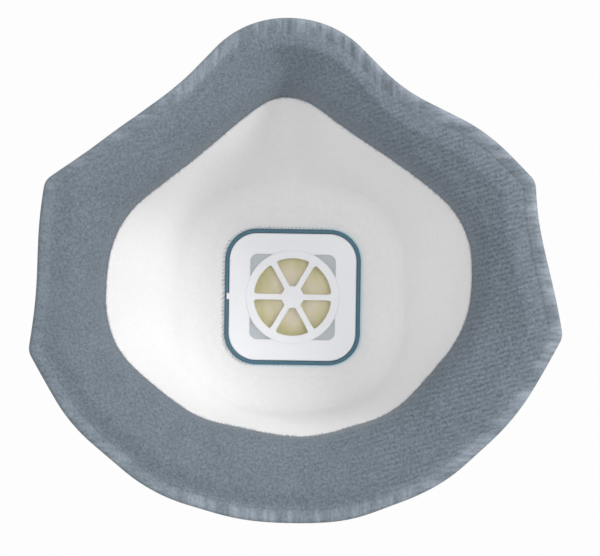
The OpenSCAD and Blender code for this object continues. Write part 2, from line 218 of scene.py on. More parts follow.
def ramp(tree, factor, stops):
    node = addNode(tree, "ShaderNodeValToRGB", {"Fac": factor})
    node.color_ramp.elements[0].position = stops[0][0]
    node.color_ramp.elements[0].color = (*stops[0][1], 1)
    node.color_ramp.elements[1].position = stops[-1][0]
    node.color_ramp.elements[1].color = (*stops[-1][1], 1)
    for position, colour in stops[1:-1]:
        node.color_ramp.elements.new(position).color = (*colour, 1)
    return node.outputs["Color"]


def knitMaterial(name, dark, pale, marks):
    material, tree, shader, spot = newMaterial(name, Roughness=0.95, Sheen_Weight=0.18,
                                               Sheen_Roughness=0.5, Specular_IOR_Level=0.15)
    across = addNode(tree, "ShaderNodeSeparateXYZ", {"Vector": spot})
    ribs = addNode(tree, "ShaderNodeMapRange", {
        "Value": across.outputs["X"], "From Min": 0.005, "From Max": -0.05, "To Min": 0.12,
        "To Max": 0.74,
    })
    knit = useGroup(tree, knitGroup, {"Vector": spot, "Ribs": ribs.outputs[0]})
    mottle = useGroup(tree, mottleGroup, {"Vector": spot})
    both = math2(tree, "MULTIPLY_ADD", knit.outputs["Height"], 0.7)
    half = math2(tree, "MULTIPLY", mottle.outputs["Mask"], 0.4)
    tree.links.new(half, both.node.inputs[2])
    colour = ramp(tree, both, [(0.3, dark), (0.75, pale)])
    # Pale fused tufts along the margin
    levelled = addNode(tree, "ShaderNodeMapping", {"Vector": spot, "Scale": (0.13, 0.3, 1)})
    upright = addNode(tree, "ShaderNodeMapping", {"Vector": spot, "Scale": (1, 0.3, 0.13)})
    tufts = [addNode(tree, "ShaderNodeTexNoise", {
        "Vector": way.outputs[0], "Scale": 540.0, "Detail": 3.0, "Roughness": 0.6,
    }).outputs["Fac"] for way in (upright, levelled)]
    sideways = addNode(tree, "ShaderNodeAttribute", attribute_name="sideways")
    tuft = addNode(tree, "ShaderNodeMix", {"Factor": sideways.outputs["Fac"]})
    tree.links.new(tufts[0], tuft.inputs[2])
    tree.links.new(tufts[1], tuft.inputs[3])
    tuft = addNode(tree, "ShaderNodeMapRange", {
        "Value": tuft.outputs[0], "From Min": 0.4, "From Max": 0.62, "To Min": 0.2, "To Max": 1.0,
    })
    crimp = addNode(tree, "ShaderNodeAttribute", attribute_name="crimp")
    share = math2(tree, "MULTIPLY", crimp.outputs["Fac"], tuft.outputs[0])
    share = math2(tree, "MULTIPLY", share, math2(tree, "ADD", mottle.outputs["Mask"], 0.4))
    mix = addNode(tree, "ShaderNodeMix", {"Factor": share}, data_type="RGBA")
    tree.links.new(colour, mix.inputs[6])
    mix.inputs[7].default_value = (*marks, 1)
    tree.links.new(mix.outputs[2], shader.inputs["Base Color"])
    bump(tree, shader, knit.outputs["Height"], 0.25, 0.6)
    return material


def webMaterial(name, colour, shade, depth=0.06, roughness=0.9, edges=()):
    material, tree, shader, spot = newMaterial(name, Roughness=roughness, Specular_IOR_Level=0.25)
    mottle = useGroup(tree, mottleGroup, {"Vector": spot, "Fine": 900.0, "Broad": 60.0})
    tone = ramp(tree, mottle.outputs["Mask"], [(0.3, shade), (0.75, colour)])
    for key, tint in edges:
        share = addNode(tree, "ShaderNodeAttribute", attribute_name=key)
        mix = addNode(tree, "ShaderNodeMix", {"Factor": share.outputs["Fac"]}, data_type="RGBA")
        tree.links.new(tone, mix.inputs[6])
        mix.inputs[7].default_value = (*tint, 1)
        tone = mix.outputs[2]
    tree.links.new(tone, shader.inputs["Base Color"])
    bump(tree, shader, mottle.outputs["Mask"], depth, 0.6)
    return material


def plasticMaterial(name, colour, smoothest, roughest, shaded=None):
    material, tree, shader, spot = newMaterial(name, Base_Color=(*colour, 1))
    grain = useGroup(tree, plasticGroup, {
        "Vector": spot, "Smoothest": smoothest, "Roughest": roughest,
    })
    # Painted shade: the given darker colour is blended in where the vertex attribute is set, on the
    # recessed pocket floors
    if shaded:
        share = addNode(tree, "ShaderNodeAttribute", attribute_name="paintedPocketShade")
        mix = addNode(tree, "ShaderNodeMix", {"Factor": share.outputs["Fac"]}, data_type="RGBA")
        mix.inputs[6].default_value = (*colour, 1)
        mix.inputs[7].default_value = (*shaded, 1)
        tree.links.new(mix.outputs[2], shader.inputs["Base Color"])
    tree.links.new(grain.outputs["Roughness"], shader.inputs["Roughness"])
    bump(tree, shader, grain.outputs["Height"], 0.01, 0.5)
    return material


sealMaterial = knitMaterial("brushedKnit", (0.083, 0.104, 0.126), (0.212, 0.254, 0.296),
                            (0.385, 0.432, 0.493))
foamMaterial = webMaterial("openFoam", (0.62, 0.64, 0.66), (0.4, 0.42, 0.44), 0.3)
# The pale-blue edge colour on the shell is painted bounce light from the teal frame
shellMaterial = webMaterial("mouldedNonwoven", (0.88, 0.872, 0.874), (0.83, 0.822, 0.826), 0.05,
                            edges=(("paintedTealBounce", (0.68, 0.88, 0.95)), ("knurl", (0.42, 0.43, 0.44))))
filterMaterial = webMaterial("filterWeb", (0.88, 0.88, 0.88), (0.75, 0.76, 0.78), 0.12)
prefilterMaterial = webMaterial("coarseWeb", (0.85, 0.86, 0.87), (0.7, 0.72, 0.74), 0.15)
coverMaterial = webMaterial("outerWeb", (0.82, 0.83, 0.84), (0.66, 0.68, 0.7), 0.12)
# The second colour is painted shade for the floors of the four corner pockets
seatMaterial = plasticMaterial("whiteSatin", (0.9, 0.91, 0.935), 0.34, 0.46,
                               (0.53, 0.565, 0.6))
frameMaterial = plasticMaterial("tealSatin", (0.048, 0.146, 0.208), 0.34, 0.5)
clipMaterial, clipTree, clipShader, clipSpot = newMaterial(
    "brushedAluminium", Base_Color=(0.72, 0.73, 0.74, 1), Metallic=1.0, Roughness=0.38)
clipGrain = addNode(clipTree, "ShaderNodeTexNoise", {"Vector": clipSpot, "Scale": 700.0})
bump(clipTree, clipShader, clipGrain.outputs["Fac"], 0.02)

rubberMaterial, rubberTree, rubberShader, rubberSpot = newMaterial(
    "mouldedRubber", Roughness=0.42, Specular_IOR_Level=0.4)
# Painted light on the disc: vertically stretched noise paints soft vertical highlight streaks and
# also gives the fine bump; the distance from the axis paints shade towards the port's rim and a paler
# pinkish highlight at the centre
rubberDrawn = addNode(rubberTree, "ShaderNodeMapping", {
    "Vector": rubberSpot, "Scale": (1, 1, 0.3),
})
rubberGrainAndHighlightStreaks = addNode(rubberTree, "ShaderNodeTexNoise", {
    "Vector": rubberDrawn.outputs[0], "Scale": 260.0, "Detail": 2.0,
})
rubberEdge = addNode(rubberTree, "ShaderNodeAttribute", attribute_name="fromAxis")
rubberRimShadeCentreHighlight = addNode(rubberTree, "ShaderNodeMapRange", {
    "Value": rubberEdge.outputs["Fac"], "From Min": 11.3, "From Max": 7.0, "To Min": -0.25,
    "To Max": 0.22,
})
rubberToneWithPaintedLight = ramp(rubberTree, math2(rubberTree, "ADD", rubberGrainAndHighlightStreaks.outputs["Fac"],
                                    rubberRimShadeCentreHighlight.outputs[0]),
                  [(0.2, (0.66, 0.62, 0.33)), (0.5, (0.78, 0.72, 0.46)), (0.8, (0.88, 0.80, 0.62))])
rubberTree.links.new(rubberToneWithPaintedLight, rubberShader.inputs["Base Color"])
bump(rubberTree, rubberShader, rubberGrainAndHighlightStreaks.outputs["Fac"], 0.02)

bandMaterial, bandTree, bandShader, bandSpot = newMaterial(
    "braidedElastic", Roughness=0.8, Sheen_Weight=0.1)
bandWeave = useGroup(bandTree, knitGroup, {
    "Vector": bandSpot, "Courses": 1400.0, "Fuzz": 1800.0, "Ribs": 0.5,
})
bandTone = ramp(bandTree, bandWeave.outputs["Height"],
                [(0.2, (0.42, 0.45, 0.48)), (0.8, (0.68, 0.7, 0.72))])
bandTree.links.new(bandTone, bandShader.inputs["Base Color"])
bump(bandTree, bandShader, bandWeave.outputs["Height"], 0.15)
print("materials ready")


# Mesh helpers

def makePiece(name, verts, faces, material, body, flat=None, values=None):
    mesh = bpy.data.meshes.new(name)
    mesh.from_pydata((np.asarray(verts) * mm).tolist(), [], [list(f) for f in faces])
    mesh.validate()
    shade = np.ones(len(mesh.polygons), bool)
    if flat is not None and len(flat) == len(mesh.polygons):
        shade = ~np.asarray(flat, bool)
    mesh.polygons.foreach_set("use_smooth", shade)
    for key, data in (values or {}).items():
        attribute = mesh.attributes.new(key, "FLOAT", "POINT")
        attribute.data.foreach_set("value", np.asarray(data, np.float32))
    mesh.materials.append(material)
    mesh.update()
    obj = bpy.data.objects.new(name, mesh)
    scene.collection.objects.link(obj)
    if body:
        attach(obj, body)
    return obj


def faceOutward(obj):
    work = bmesh.new()
    work.from_mesh(obj.data)
    bmesh.ops.recalc_face_normals(work, faces=work.faces)
    work.to_mesh(obj.data)
    work.free()


def gridFaces(columns, rows, start=0, closed=True, flip=False):
    i = np.arange(columns if closed else columns - 1)
    j = np.arange(rows - 1)
    a = (start + i[:, None] * rows + j).ravel()
    b = (start + ((i[:, None] + 1) % columns) * rows + j).ravel()
    quads = np.stack([a, a + 1, b + 1, b], 1)
    return quads[:, ::-1] if flip else quads


def closedSlab(inner, outer):
    columns, rows = inner.shape[:2]
    verts = np.concatenate([inner.reshape(-1, 3), outer.reshape(-1, 3)])
    half = columns * rows
    i = np.arange(columns)
    k = (i + 1) % columns
    first = np.stack([i * rows, k * rows, half + k * rows, half + i * rows], 1)
    last = first[:, ::-1] + rows - 1
    faces = np.concatenate([
        gridFaces(columns, rows), gridFaces(columns, rows, half, flip=True), first, last,
    ])
    return verts, faces


def tubeFaces(rings, around, closed=False):
    i = np.arange(rings if closed else rings - 1)
    after = (i + 1) % rings
    faces = []
    for j in range(around):
        k = (j + 1) % around
        faces.append(np.stack([i * around + j, i * around + k, after * around + k,
                               after * around + j], 1))
    faces = np.concatenate(faces).tolist()
    if not closed:
        faces += [list(range(around)),
                  [(rings - 1) * around + j for j in reversed(range(around))]]
    return faces


# The cup's surface

rimHigh = high("rim_weld")
cup = {
    "centre": (low("valve_body").z + high("valve_body").z) / 2,
    "halfWide": rimHigh.x - 0.35, "halfTall": rimHigh.z - 1.1,
    "depth": -high("valve_body").y + 1, "crown": 3, "wing": 7, "fall": 9,
    "frontCut": 5, "footCut": 4, "flat": 3.4, "weld": 3.4,
    "opening": high("valve_body").x * 2 - 6.4 + 0.06, "openingRound": 9.18,
    "turn": math.radians(0.9),
}
layers = {"shell": 1.6, "filter": 0.8, "prefilter": 0.8, "cover": 0.6, "foam": 2.5, "fabric": 0.8}
stack = layers["shell"] + layers["filter"] + layers["prefilter"] + layers["cover"]
weldOut, weldIn = 1.4, 1.0


def bothSides(nose, right, chin):
    return [nose, *right, chin, *[(-x, z, r) for x, z, r in reversed(right)]]


def cornerPath(corners, stepAngle=math.radians(2)):
    path = []
    for k, (x, z, r) in enumerate(corners):
        b = np.array((x, z), float)
        if r == 0:
            path.append(b)
            continue
        u = np.array(corners[k - 1][:2]) - b
        v = np.array(corners[(k + 1) % len(corners)][:2]) - b
        u, v = u / np.linalg.norm(u), v / np.linalg.norm(v)
        half = math.acos(float(np.clip(u @ v, -1, 1))) / 2
        centre = b + (u + v) / np.linalg.norm(u + v) * r / math.sin(half)
        start = b + u * r / math.tan(half) - centre
        side = -1 if u[0] * v[1] - u[1] * v[0] > 0 else 1
        turn = math.pi - 2 * half
        steps = max(3, math.ceil(turn / stepAngle))
        for s in range(steps + 1):
            a = side * turn * s / steps
            path.append(centre + np.array((start[0] * math.cos(a) - start[1] * math.sin(a),
                                           start[0] * math.sin(a) + start[1] * math.cos(a))))
    return np.array(path)


def polar(path, softness):
    after = np.roll(path, -1, 0)
    dense = np.concatenate([a + (b - a) * np.linspace(0, 1, 24, endpoint=False)[:, None]
                            for a, b in zip(path, after)])
    angles = np.arctan2(dense[:, 1] - cup["centre"], dense[:, 0])
    radii = np.hypot(dense[:, 1] - cup["centre"], dense[:, 0])
    order = np.argsort(angles)
    grid = np.linspace(-math.pi, math.pi, 2880, endpoint=False)
    r = np.interp(grid, angles[order], radii[order], period=2 * math.pi)
    width = int(softness * 8)
    if width:
        kernel = np.exp(-0.5 * (np.arange(-3 * width, 3 * width + 1) / width) ** 2)
        r = np.convolve(np.concatenate([r[-3 * width:], r, r[:3 * width]]), kernel / kernel.sum(),
                        "valid")
    return grid, r


# Unevenness of the rim and of the mouth: direction in degrees and amount
rimUneven = [
    (-180, -0.8), (-165, 0.3), (-150, -1.1), (-135, -0.7), (-120, -0.8), (-105, 0.5),
    (-90, -0.3), (-75, 0.2), (0, -0.9), (15, -0.1), (30, -1.3), (45, -1.2), (60, 0.4),
    (75, -0.3), (90, -0.7), (105, -0.3), (135, -0.4), (165, -1.6),
]
mouthUneven = [
    (-180, -0.5), (-160, -0.4), (-140, 1.1), (-120, 0.3), (-100, 1.3), (-80, 0.5), (-60, 0.7),
    (-40, 1.8), (-20, 3.0), (0, 1.5), (20, 0.3), (40, 0.8), (60, 0.6), (80, 1.8), (100, -0.3),
    (120, 0.7), (140, 0.8), (160, -0.2),
]


def uneven(table, bumps, spread):
    grid, r = table
    for centre, amount in bumps:
        away = (np.degrees(grid) - centre + 180) % 360 - 180
        r = r + amount * np.exp(-0.5 * (away / spread) ** 2)
    return grid, r


w, h = cup["halfWide"], cup["halfTall"]
rimRadius = polar(cornerPath(bothSides((0, 1.186 * h, 27), [
    (0.42 * w, 0.72 * h, 50), (0.67 * w, 0.568 * h, 70), (0.925 * w, 0.355 * h, 4),
    (w, -0.315 * h, 4), (0.836 * w, -0.606 * h, 50), (0.533 * w, -0.883 * h, 46),
], (0, -1.05 * h, 75))), 0.35)
rimRadius = uneven(rimRadius, rimUneven, 9)
side, top, bottom = w - 22.2, h - 21, 22.6 - h
mouthRadius = polar(cornerPath(bothSides((0, top + 3.3, 12), [
    (side, 0.265 * top, 24), (side, 0.365 * bottom, 28), (0.51 * side, 0.88 * bottom, 24),
], (0, bottom - 1, 44))), 2.5)
mouthRadius = uneven(mouthRadius, mouthUneven, 13)
fronted = cup["opening"] / 2 + 11.37
frontRadius = polar(cornerPath(bothSides((0, cup["centre"] + 1.06 * fronted, 22), [
    (fronted, cup["centre"] + 0.84 * fronted, 20), (fronted, cup["centre"] - 0.92 * fronted, 23),
], (0, cup["centre"] - 1.08 * fronted, 60))), 6)


def squareLoop(width, radius, steps=16):
    out = []
    for sx, sz, begin in ((1, 1, 0), (-1, 1, 90), (-1, -1, 180), (1, -1, 270)):
        for k in range(steps + 1):
            a = math.radians(begin + 90 * k / steps)
            out.append((sx * (width / 2 - radius) + radius * math.cos(a),
                        sz * (width / 2 - radius) + radius * math.sin(a)))
    return np.array(out)


def turned(loop):
    return spin(loop, cup["turn"])


openRadius = polar(turned(squareLoop(cup["opening"], cup["openingRound"])) + (0, cup["centre"]), 0)


def at(table, theta):
    return np.interp(theta, table[0], table[1], period=2 * math.pi)


def easedCorner(a, b, c, cut, steps):
    ab, cb = a - b, c - b
    lengthA = np.linalg.norm(ab, axis=1, keepdims=True)
    lengthC = np.linalg.norm(cb, axis=1, keepdims=True)
    p = b + ab / lengthA * np.minimum(cut, 0.8 * lengthA)
    q = b + cb / lengthC * np.minimum(cut, 0.45 * lengthC)
    t = np.linspace(0, 1, steps)[:, None, None]
    return (1 - t) ** 2 * p + 2 * t * (1 - t) * b + t ** 2 * q


def between(a, b, steps):
    t = np.linspace(0, 1, steps + 2)[1:-1, None, None]
    return a + (b - a) * t


def profiles(theta, counts):
    rOpen, rFront, rMouth, rRim = (at(t, theta) for t in
                                   (openRadius, frontRadius, mouthRadius, rimRadius))
    yRim = cup["wing"] * np.abs(np.cos(theta)) ** 1.6
    yFoot = yRim - cup["fall"]
    drop = yFoot + cup["depth"] - cup["crown"]
    lean = (rMouth - rFront) / np.hypot(rMouth - rFront, drop)
    flatY = np.full_like(theta, -cup["depth"])
    opening = np.stack([rOpen, flatY], 1)
    flatEnd = np.stack([rOpen + cup["flat"], flatY], 1)
    edge = np.stack([rFront, flatY + cup["crown"]], 1)
    foot = np.stack([rMouth + lean * cup["footCut"], yFoot], 1)
    rim = np.stack([rRim, yRim], 1)
    weld = rim + unit(foot - rim) * cup["weld"]
    front = easedCorner(flatEnd, edge, foot, cup["frontCut"], counts[1])
    curve = easedCorner(edge, foot, rim, cup["footCut"], counts[3])
    rows = [opening[None], between(opening, flatEnd, counts[0]), flatEnd[None],
            between(flatEnd, front[0], 2), front, between(front[-1], curve[0], counts[2]), curve,
            between(curve[-1], weld, counts[4]), weld[None], between(weld, rim, counts[5]),
            rim[None]]
    marks = np.cumsum([0] + [len(r) for r in rows])
    return np.concatenate(rows).transpose(1, 0, 2), marks[6], marks[8]


# Small unevenness of the soft rim: place, shift and reach of each push
pushes = [
    (2, 66, 1.8, 0.0, 26), (66, 24, 1.3, 0.2, 13), (-66, 24, 1.9, -0.7, 12),
    (-71, -20, 0.2, 3.4, 15), (71, -20, -0.5, -0.4, 15), (-31, 49, 0.6, -0.4, 12),
    (-56, 32, -0.8, 0.8, 12),
]


valley = {"depth": 4.0, "width": 6.0, "foot": 16, "top": 66}


def warp(points):
    flatPoints = points.reshape(-1, 3)
    theta = np.arctan2(flatPoints[:, 2] - cup["centre"], flatPoints[:, 0])
    radius = np.hypot(flatPoints[:, 2] - cup["centre"], flatPoints[:, 0])
    a, b = at(frontRadius, theta), at(rimRadius, theta)
    share = smooth((radius - a) / (b - a))
    moved = flatPoints.copy()
    for x, z, dx, dz, reach in pushes:
        pull = share * np.exp(-((flatPoints[:, 0] - x) ** 2 + (flatPoints[:, 2] - z) ** 2)
                              / (2 * reach ** 2))
        moved[:, 0] += pull * dx
        moved[:, 2] += pull * dz
    x, z = flatPoints[:, 0], flatPoints[:, 2]
    moved[:, 1] -= valley["depth"] * np.exp(-(x / valley["width"]) ** 2) \
        * smooth((z - valley["foot"]) / 16) * smooth((valley["top"] - z) / 14)
    return moved.reshape(points.shape)


def surface(columns, counts):
    theta = np.linspace(-math.pi, math.pi, columns, endpoint=False)
    rows, footRow, weldRow = profiles(theta, counts)
    points = np.stack([rows[:, :, 0] * np.cos(theta)[:, None], rows[:, :, 1],
                       cup["centre"] + rows[:, :, 0] * np.sin(theta)[:, None]], 2)
    points = warp(points)
    along = np.roll(points, -1, 0) - np.roll(points, 1, 0)
    across = np.gradient(points, axis=1)
    normal = unit(np.cross(along, across))
    radial = np.stack([np.cos(theta), np.zeros_like(theta), np.sin(theta)], 1)[:, None]
    towards = np.sum(normal * (radial * 0.7 + np.array((0, -0.7, 0))), axis=2)
    normal *= np.sign(towards)[:, :, None]
    return points, normal, footRow, weldRow


def ripple(points, size, seed):
    local = np.random.default_rng(seed)
    total = np.zeros(points.shape[:-1])
    for k in range(9):
        direction = local.normal(size=3)
        direction *= 2 * math.pi / (size * local.uniform(0.7, 1.6) * np.linalg.norm(direction))
        total += np.sin(points @ direction + local.uniform(0, 6.28))
    return total / 4.5


# Cup layers

cupPoints, cupNormals, _, weldRow = surface(1200, (16, 16, 34, 14, 44, 6))


def layerFace(points, normals, last, offset, squeeze=10):
    rows = np.arange(points.shape[1])
    t = smooth((rows - (last - squeeze)) / squeeze)
    out = offset * (1 - t) + offset / stack * weldOut * t
    return points + normals * out[None, :, None]


def cupLayer(name, node, material, bottomFace, thickness, points, normals, last, pushed=None,
             values=None):
    points, normals = points[:, :last + 1], normals[:, :last + 1]
    inner = layerFace(points, normals, last, bottomFace)
    outer = layerFace(points, normals, last, bottomFace + thickness)
    if pushed is not None:
        inner, outer = inner + pushed, outer + pushed
    verts, faces = closedSlab(inner, outer)
    obj = makePiece(name, verts, faces, material, "mask", values=values)
    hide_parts(node)
    return obj


# Knurled welded edge around the valve, proud of the frame on one side
knurl = {
    "pitch": 1.15, "slant": 1.3, "height": 0.2, "width": 1.2, "ragged": 0.06,
    "strength": ([-180, -150, -125, -100, -60, -48, 40, 55, 75, 110, 125, 180],
                 [0.1, 0.1, 0.15, 0.3, 0.45, 1, 1, 0.7, 0.75, 0.7, 0.12, 0.1]),
}


def edgeOfOpening(points):
    theta = np.arctan2(points[:, 0, 2] - cup["centre"], points[:, 0, 0])
    steps = np.linalg.norm(np.roll(points[:, 0], -1, 0) - points[:, 0], axis=1)
    travel = np.concatenate([[0], np.cumsum(steps)[:-1]])[:, None]
    count = round(steps.sum() / knurl["pitch"])
    away = np.linalg.norm(points - points[:, :1], axis=2)
    around = np.interp(np.degrees(theta), *knurl["strength"])[:, None]
    drift = 0.3 * np.interp(travel, np.linspace(0, steps.sum(), 40), rng.normal(0, 1, 40))
    beat = 0.5 + 0.5 * np.cos(2 * math.pi * (travel / steps.sum() * count + drift
                                             + away * knurl["slant"] / knurl["pitch"] / 2))
    rough = ripple(points, 3.0, 21) + ripple(points, 0.8, 22)
    inside = smooth((knurl["width"] * (0.45 + 0.55 * around) - away) / 0.4)
    lift = knurl["height"] * around * inside * (0.35 + 0.65 * beat + 0.2 * rough)
    marks = np.clip(around * inside * (1 - beat) * (0.6 + 0.35 * rough), 0, 1)
    # Painted light: a pale-blue tint on the shell close to the opening, standing in for light bounced
    # off the teal frame
    paintedTealBounce = smooth((0.9 - away) / 0.6) * (1 - 0.8 * around)
    wild = ripple(points, 1.6, 5)[:, :1] * 0.6 + ripple(points, 0.7, 9)[:, :1] * 0.4
    inward = unit(points[:, :1] * (1, 0, 1) - np.array((0, 0, cup["centre"])))
    push = inward * (wild * knurl["ragged"])[:, :, None] * np.exp(-away / 0.5)[:, :, None]
    push[..., 1] += lift
    return push, marks, paintedTealBounce


push, marks, paintedTealBounce = edgeOfOpening(cupPoints[:, :weldRow + 1])
shell = cupLayer("innerShell", "inner_shell", shellMaterial, 0, layers["shell"], cupPoints,
                 cupNormals, weldRow, push,
                 {"knurl": np.concatenate([marks.ravel(), marks.ravel() * 0]),
                  "paintedTealBounce": np.concatenate([paintedTealBounce.ravel(), paintedTealBounce.ravel() * 0])})
thinPoints, thinNormals, _, thinWeld = surface(360, (3, 8, 14, 6, 16, 2))
depth = layers["shell"]
for name, node, material, key, slotName in (
    ("filterMedia", "filter_media", filterMaterial, "filter", "filter_white"),
    ("prefilterWeb", "prefilter", prefilterMaterial, "prefilter", "prefilter_white"),
):
    web = cupLayer(name, node, material, depth, layers[key], thinPoints, thinNormals, thinWeld)
    depth += layers[key]
cover = cupLayer("outerCover", "outer_cover", coverMaterial, depth, layers["cover"],
                 cupPoints, cupNormals, weldRow)
print("cup layers built")


# Face seal and fused rim

sealPoints, sealNormals, sealFoot, sealWeld = surface(1500, (2, 4, 6, 22, 60, 20))
seal = {
    "edge": 0.95, "foamEdge": 0.3, "lipReach": 0.7, "lipDrop": 0.2, "rise": 9,
    "groove": 5.5, "noseGroove": 3.2, "grooveHeight": 0.95, "ripple": 0.16,
}


def sealHeights(points, fabric):
    part = points[:, sealFoot:sealWeld + 1]
    step = np.linalg.norm(np.diff(part, axis=1), axis=2)
    inward = np.concatenate([np.zeros((len(part), 1)), np.cumsum(step, 1)], 1)
    outward = inward[:, -1:] - inward
    full = layers["foam"] + (layers["fabric"] if fabric else 0)
    edge = seal["edge"] if fabric else seal["foamEdge"]
    height = edge + (full - edge) * smooth(inward / seal["rise"])
    if fabric:
        lip = np.sqrt(np.clip(1 - (1 - np.clip(inward / seal["lipReach"], 0, 1)) ** 2, 0, 1))
        height *= 1 - seal["lipDrop"] + seal["lipDrop"] * lip
        height += ripple(part, 14, 3) * seal["ripple"] * smooth(inward / 6)
    foot = seal["grooveHeight"] - (0 if fabric else 0.4)
    nose = smooth((part[:, -1:, 2] - 35) / 20)
    reach = seal["groove"] + (seal["noseGroove"] - seal["groove"]) * nose
    return foot + (height - foot) * smooth(outward / reach) ** 0.8


sealPart = sealPoints[:, sealFoot:sealWeld + 1]
sealUp = -sealNormals[:, sealFoot:sealWeld + 1]
foamTop = sealPart + sealUp * sealHeights(sealPoints, False)[:, :, None]
fabricTop = sealPart + sealUp * sealHeights(sealPoints, True)[:, :, None]
verts, faces = closedSlab(foamTop, sealPart)
foam = makePiece("sealFoam", verts, faces, foamMaterial, "mask")
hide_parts("seal_foam")
verts, faces = closedSlab(fabricTop, foamTop)


tuftsAround = ([-180, -120, -90, -60, -35, -15, 20, 35, 60, 90, 130, 180],
               [1, 0.85, 0.75, 0.7, 0.45, 0.15, 0.15, 0.45, 0.8, 0.9, 0.95, 1])


def tuftStrength(points):
    theta = np.arctan2(points[..., 2] - cup["centre"], points[..., 0])
    side = smooth((np.abs(np.cos(theta)) - 0.4) / 0.3)
    return side, np.interp(np.degrees(theta), *tuftsAround)


side, strength = tuftStrength(sealPart)
step = np.linalg.norm(np.diff(sealPart, axis=1), axis=2)
fromWeld = np.concatenate([np.cumsum(step[:, ::-1], 1)[:, ::-1], np.zeros((len(step), 1))], 1)
crimp = strength * 0.3 * np.exp(-(fromWeld / 0.9) ** 1.5)
fabric = makePiece("sealFabric", verts, faces, sealMaterial, "mask", values={
    "crimp": np.tile(crimp.ravel(), 2), "sideways": np.tile(side.ravel(), 2)})
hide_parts("seal_fabric")

rim = {"pitch": 2.5, "lean": 2.4, "depth": 0.07, "around": 36, "overlap": 1.0, "drift": 0.35}


def buildRim():
    base = sealPoints[:, sealWeld:]
    up = -sealNormals[:, sealWeld:]
    span = base[:, -1] - base[:, 0]
    width = np.linalg.norm(span, axis=1, keepdims=True)
    span = span / width
    middle = (base[:, -1] + base[:, 0]) / 2
    normal = up[:, len(up[0]) // 2]
    lengths = np.linalg.norm(np.roll(base[:, -1], -1, 0) - base[:, -1], axis=1)
    travel = np.concatenate([[0], np.cumsum(lengths)])[:-1]
    count = round(lengths.sum() / rim["pitch"])
    wander = np.interp(travel, np.linspace(0, travel[-1], 90),
                       np.append(rng.normal(0, 0.5, 89), 0))
    phase = travel / lengths.sum() * count + rim["drift"] * wander
    u, v = oval(rim["around"], 0.62, 0.75)
    reach = width[:, 0] / 2 + rim["overlap"] / 2
    tick = smooth(0.5 + 0.5 * np.cos(2 * math.pi * (phase[:, None] + u[None] * rim["lean"] / 5)))
    strength = np.interp(travel, np.linspace(0, travel[-1], 120),
                         np.append(rng.uniform(0.1, 1, 119), 0.6))[:, None]
    face = np.clip(v, 0, 1)[None] ** 0.5
    heights = np.where(v > 0, v * weldIn, v * weldOut)[None] \
        - rim["depth"] * (1 - tick) * face * strength
    verts = middle[:, None] + span[:, None] * (u[None] * reach[:, None])[:, :, None] \
        + normal[:, None] * heights[:, :, None]
    verts += (span[:, None] * (-rim["overlap"] / 2))
    sideways, marks = tuftStrength(verts)
    high = smooth((verts[..., 2] - 30) / 20)
    fade = smooth((u + 1.05) / 1.3)[None]
    marks = marks * (0.5 + 0.5 * strength) * (fade + (1 - fade) * high)
    faces = tubeFaces(*verts.shape[:2], closed=True)
    obj = makePiece("fusedRim", verts.reshape(-1, 3), faces, sealMaterial, "mask",
                    values={"crimp": marks.ravel(), "sideways": sideways.ravel()})
    faceOutward(obj)
    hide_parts("rim_weld")


buildRim()
print("face seal and rim built")


# Fine fibres at the cut edges

def strands(name, roots, directions, lengths, material, wild):
    count = len(roots)
    side = rng.normal(size=(count, 3))
    side = unit(side - directions * np.sum(side * directions, 1, keepdims=True))
    other = np.cross(directions, side)
    verts, faces = [], []
    rings = 4
    for r in range(rings):
        t = r / (rings - 1)
        centre = roots + directions * (lengths * t)[:, None] \
            + side * (lengths * wild * t * t)[:, None]
        for k in range(3):
            a = 2 * math.pi * k / 3
            verts.append(centre + (side * math.cos(a) + other * math.sin(a))
                         * fibres["thickness"] * (1 - 0.6 * t))
    verts = np.stack(verts, 1).reshape(-1, 3)
    base = (np.arange(count) * rings * 3)[:, None]
    pattern = []
    for r in range(rings - 1):
        for k in range(3):
            m = (k + 1) % 3
            pattern.append([r * 3 + k, r * 3 + m, r * 3 + 3 + m, r * 3 + 3 + k])
    quads = (base[:, :, None] + np.array(pattern)[None]).reshape(-1, 4).tolist()
    ends = np.concatenate([base + np.array([2, 1, 0]), base + 3 * (rings - 1)
                           + np.array([0, 1, 2])]).tolist()
    return makePiece(name, verts, quads + ends, material, "mask")


fibres = {"atOpening": 1500, "atSeal": 6000, "thickness": 0.035}


def openingFibres():
    count = fibres["atOpening"]
    theta = rng.uniform(-math.pi, math.pi, count)
    keep = rng.uniform(0, 1, count) < np.where(np.cos(theta) > 0.3, 1.0,
                                               np.where(np.abs(np.sin(theta)) > 0.75, 0.7, 0.25))
    theta = theta[keep]
    r = at(openRadius, theta) + rng.uniform(-0.05, 0.25, len(theta))
    y = -cup["depth"] - rng.uniform(0, 1.3, len(theta)) ** 1.4
    roots = np.stack([r * np.cos(theta), y, cup["centre"] + r * np.sin(theta)], 1)
    lean = rng.normal(0, 0.9, len(theta))
    directions = unit(np.stack([-np.cos(theta + lean), rng.uniform(0.0, 0.9, len(theta)),
                                -np.sin(theta + lean)], 1))
    obj = strands("shellFibres", roots, directions, rng.uniform(0.25, 0.75, len(theta)),
                  shellMaterial, 0.6)


def sealFibres():
    count = fibres["atSeal"]
    column = rng.integers(0, len(fabricTop), count)
    row = rng.integers(0, 3, count)
    roots = fabricTop[column, row]
    inward = unit(sealPart[column, 0] - sealPart[column, 2])
    directions = unit(inward + sealUp[column, 0] * rng.uniform(-0.3, 0.9, count)[:, None]
                      + rng.normal(0, 0.45, (count, 3)))
    obj = strands("sealFibres", roots, directions, rng.uniform(0.2, 0.7, count), sealMaterial, 0.5)


openingFibres()
sealFibres()
print("fibres built")


# Solids made from closed loops

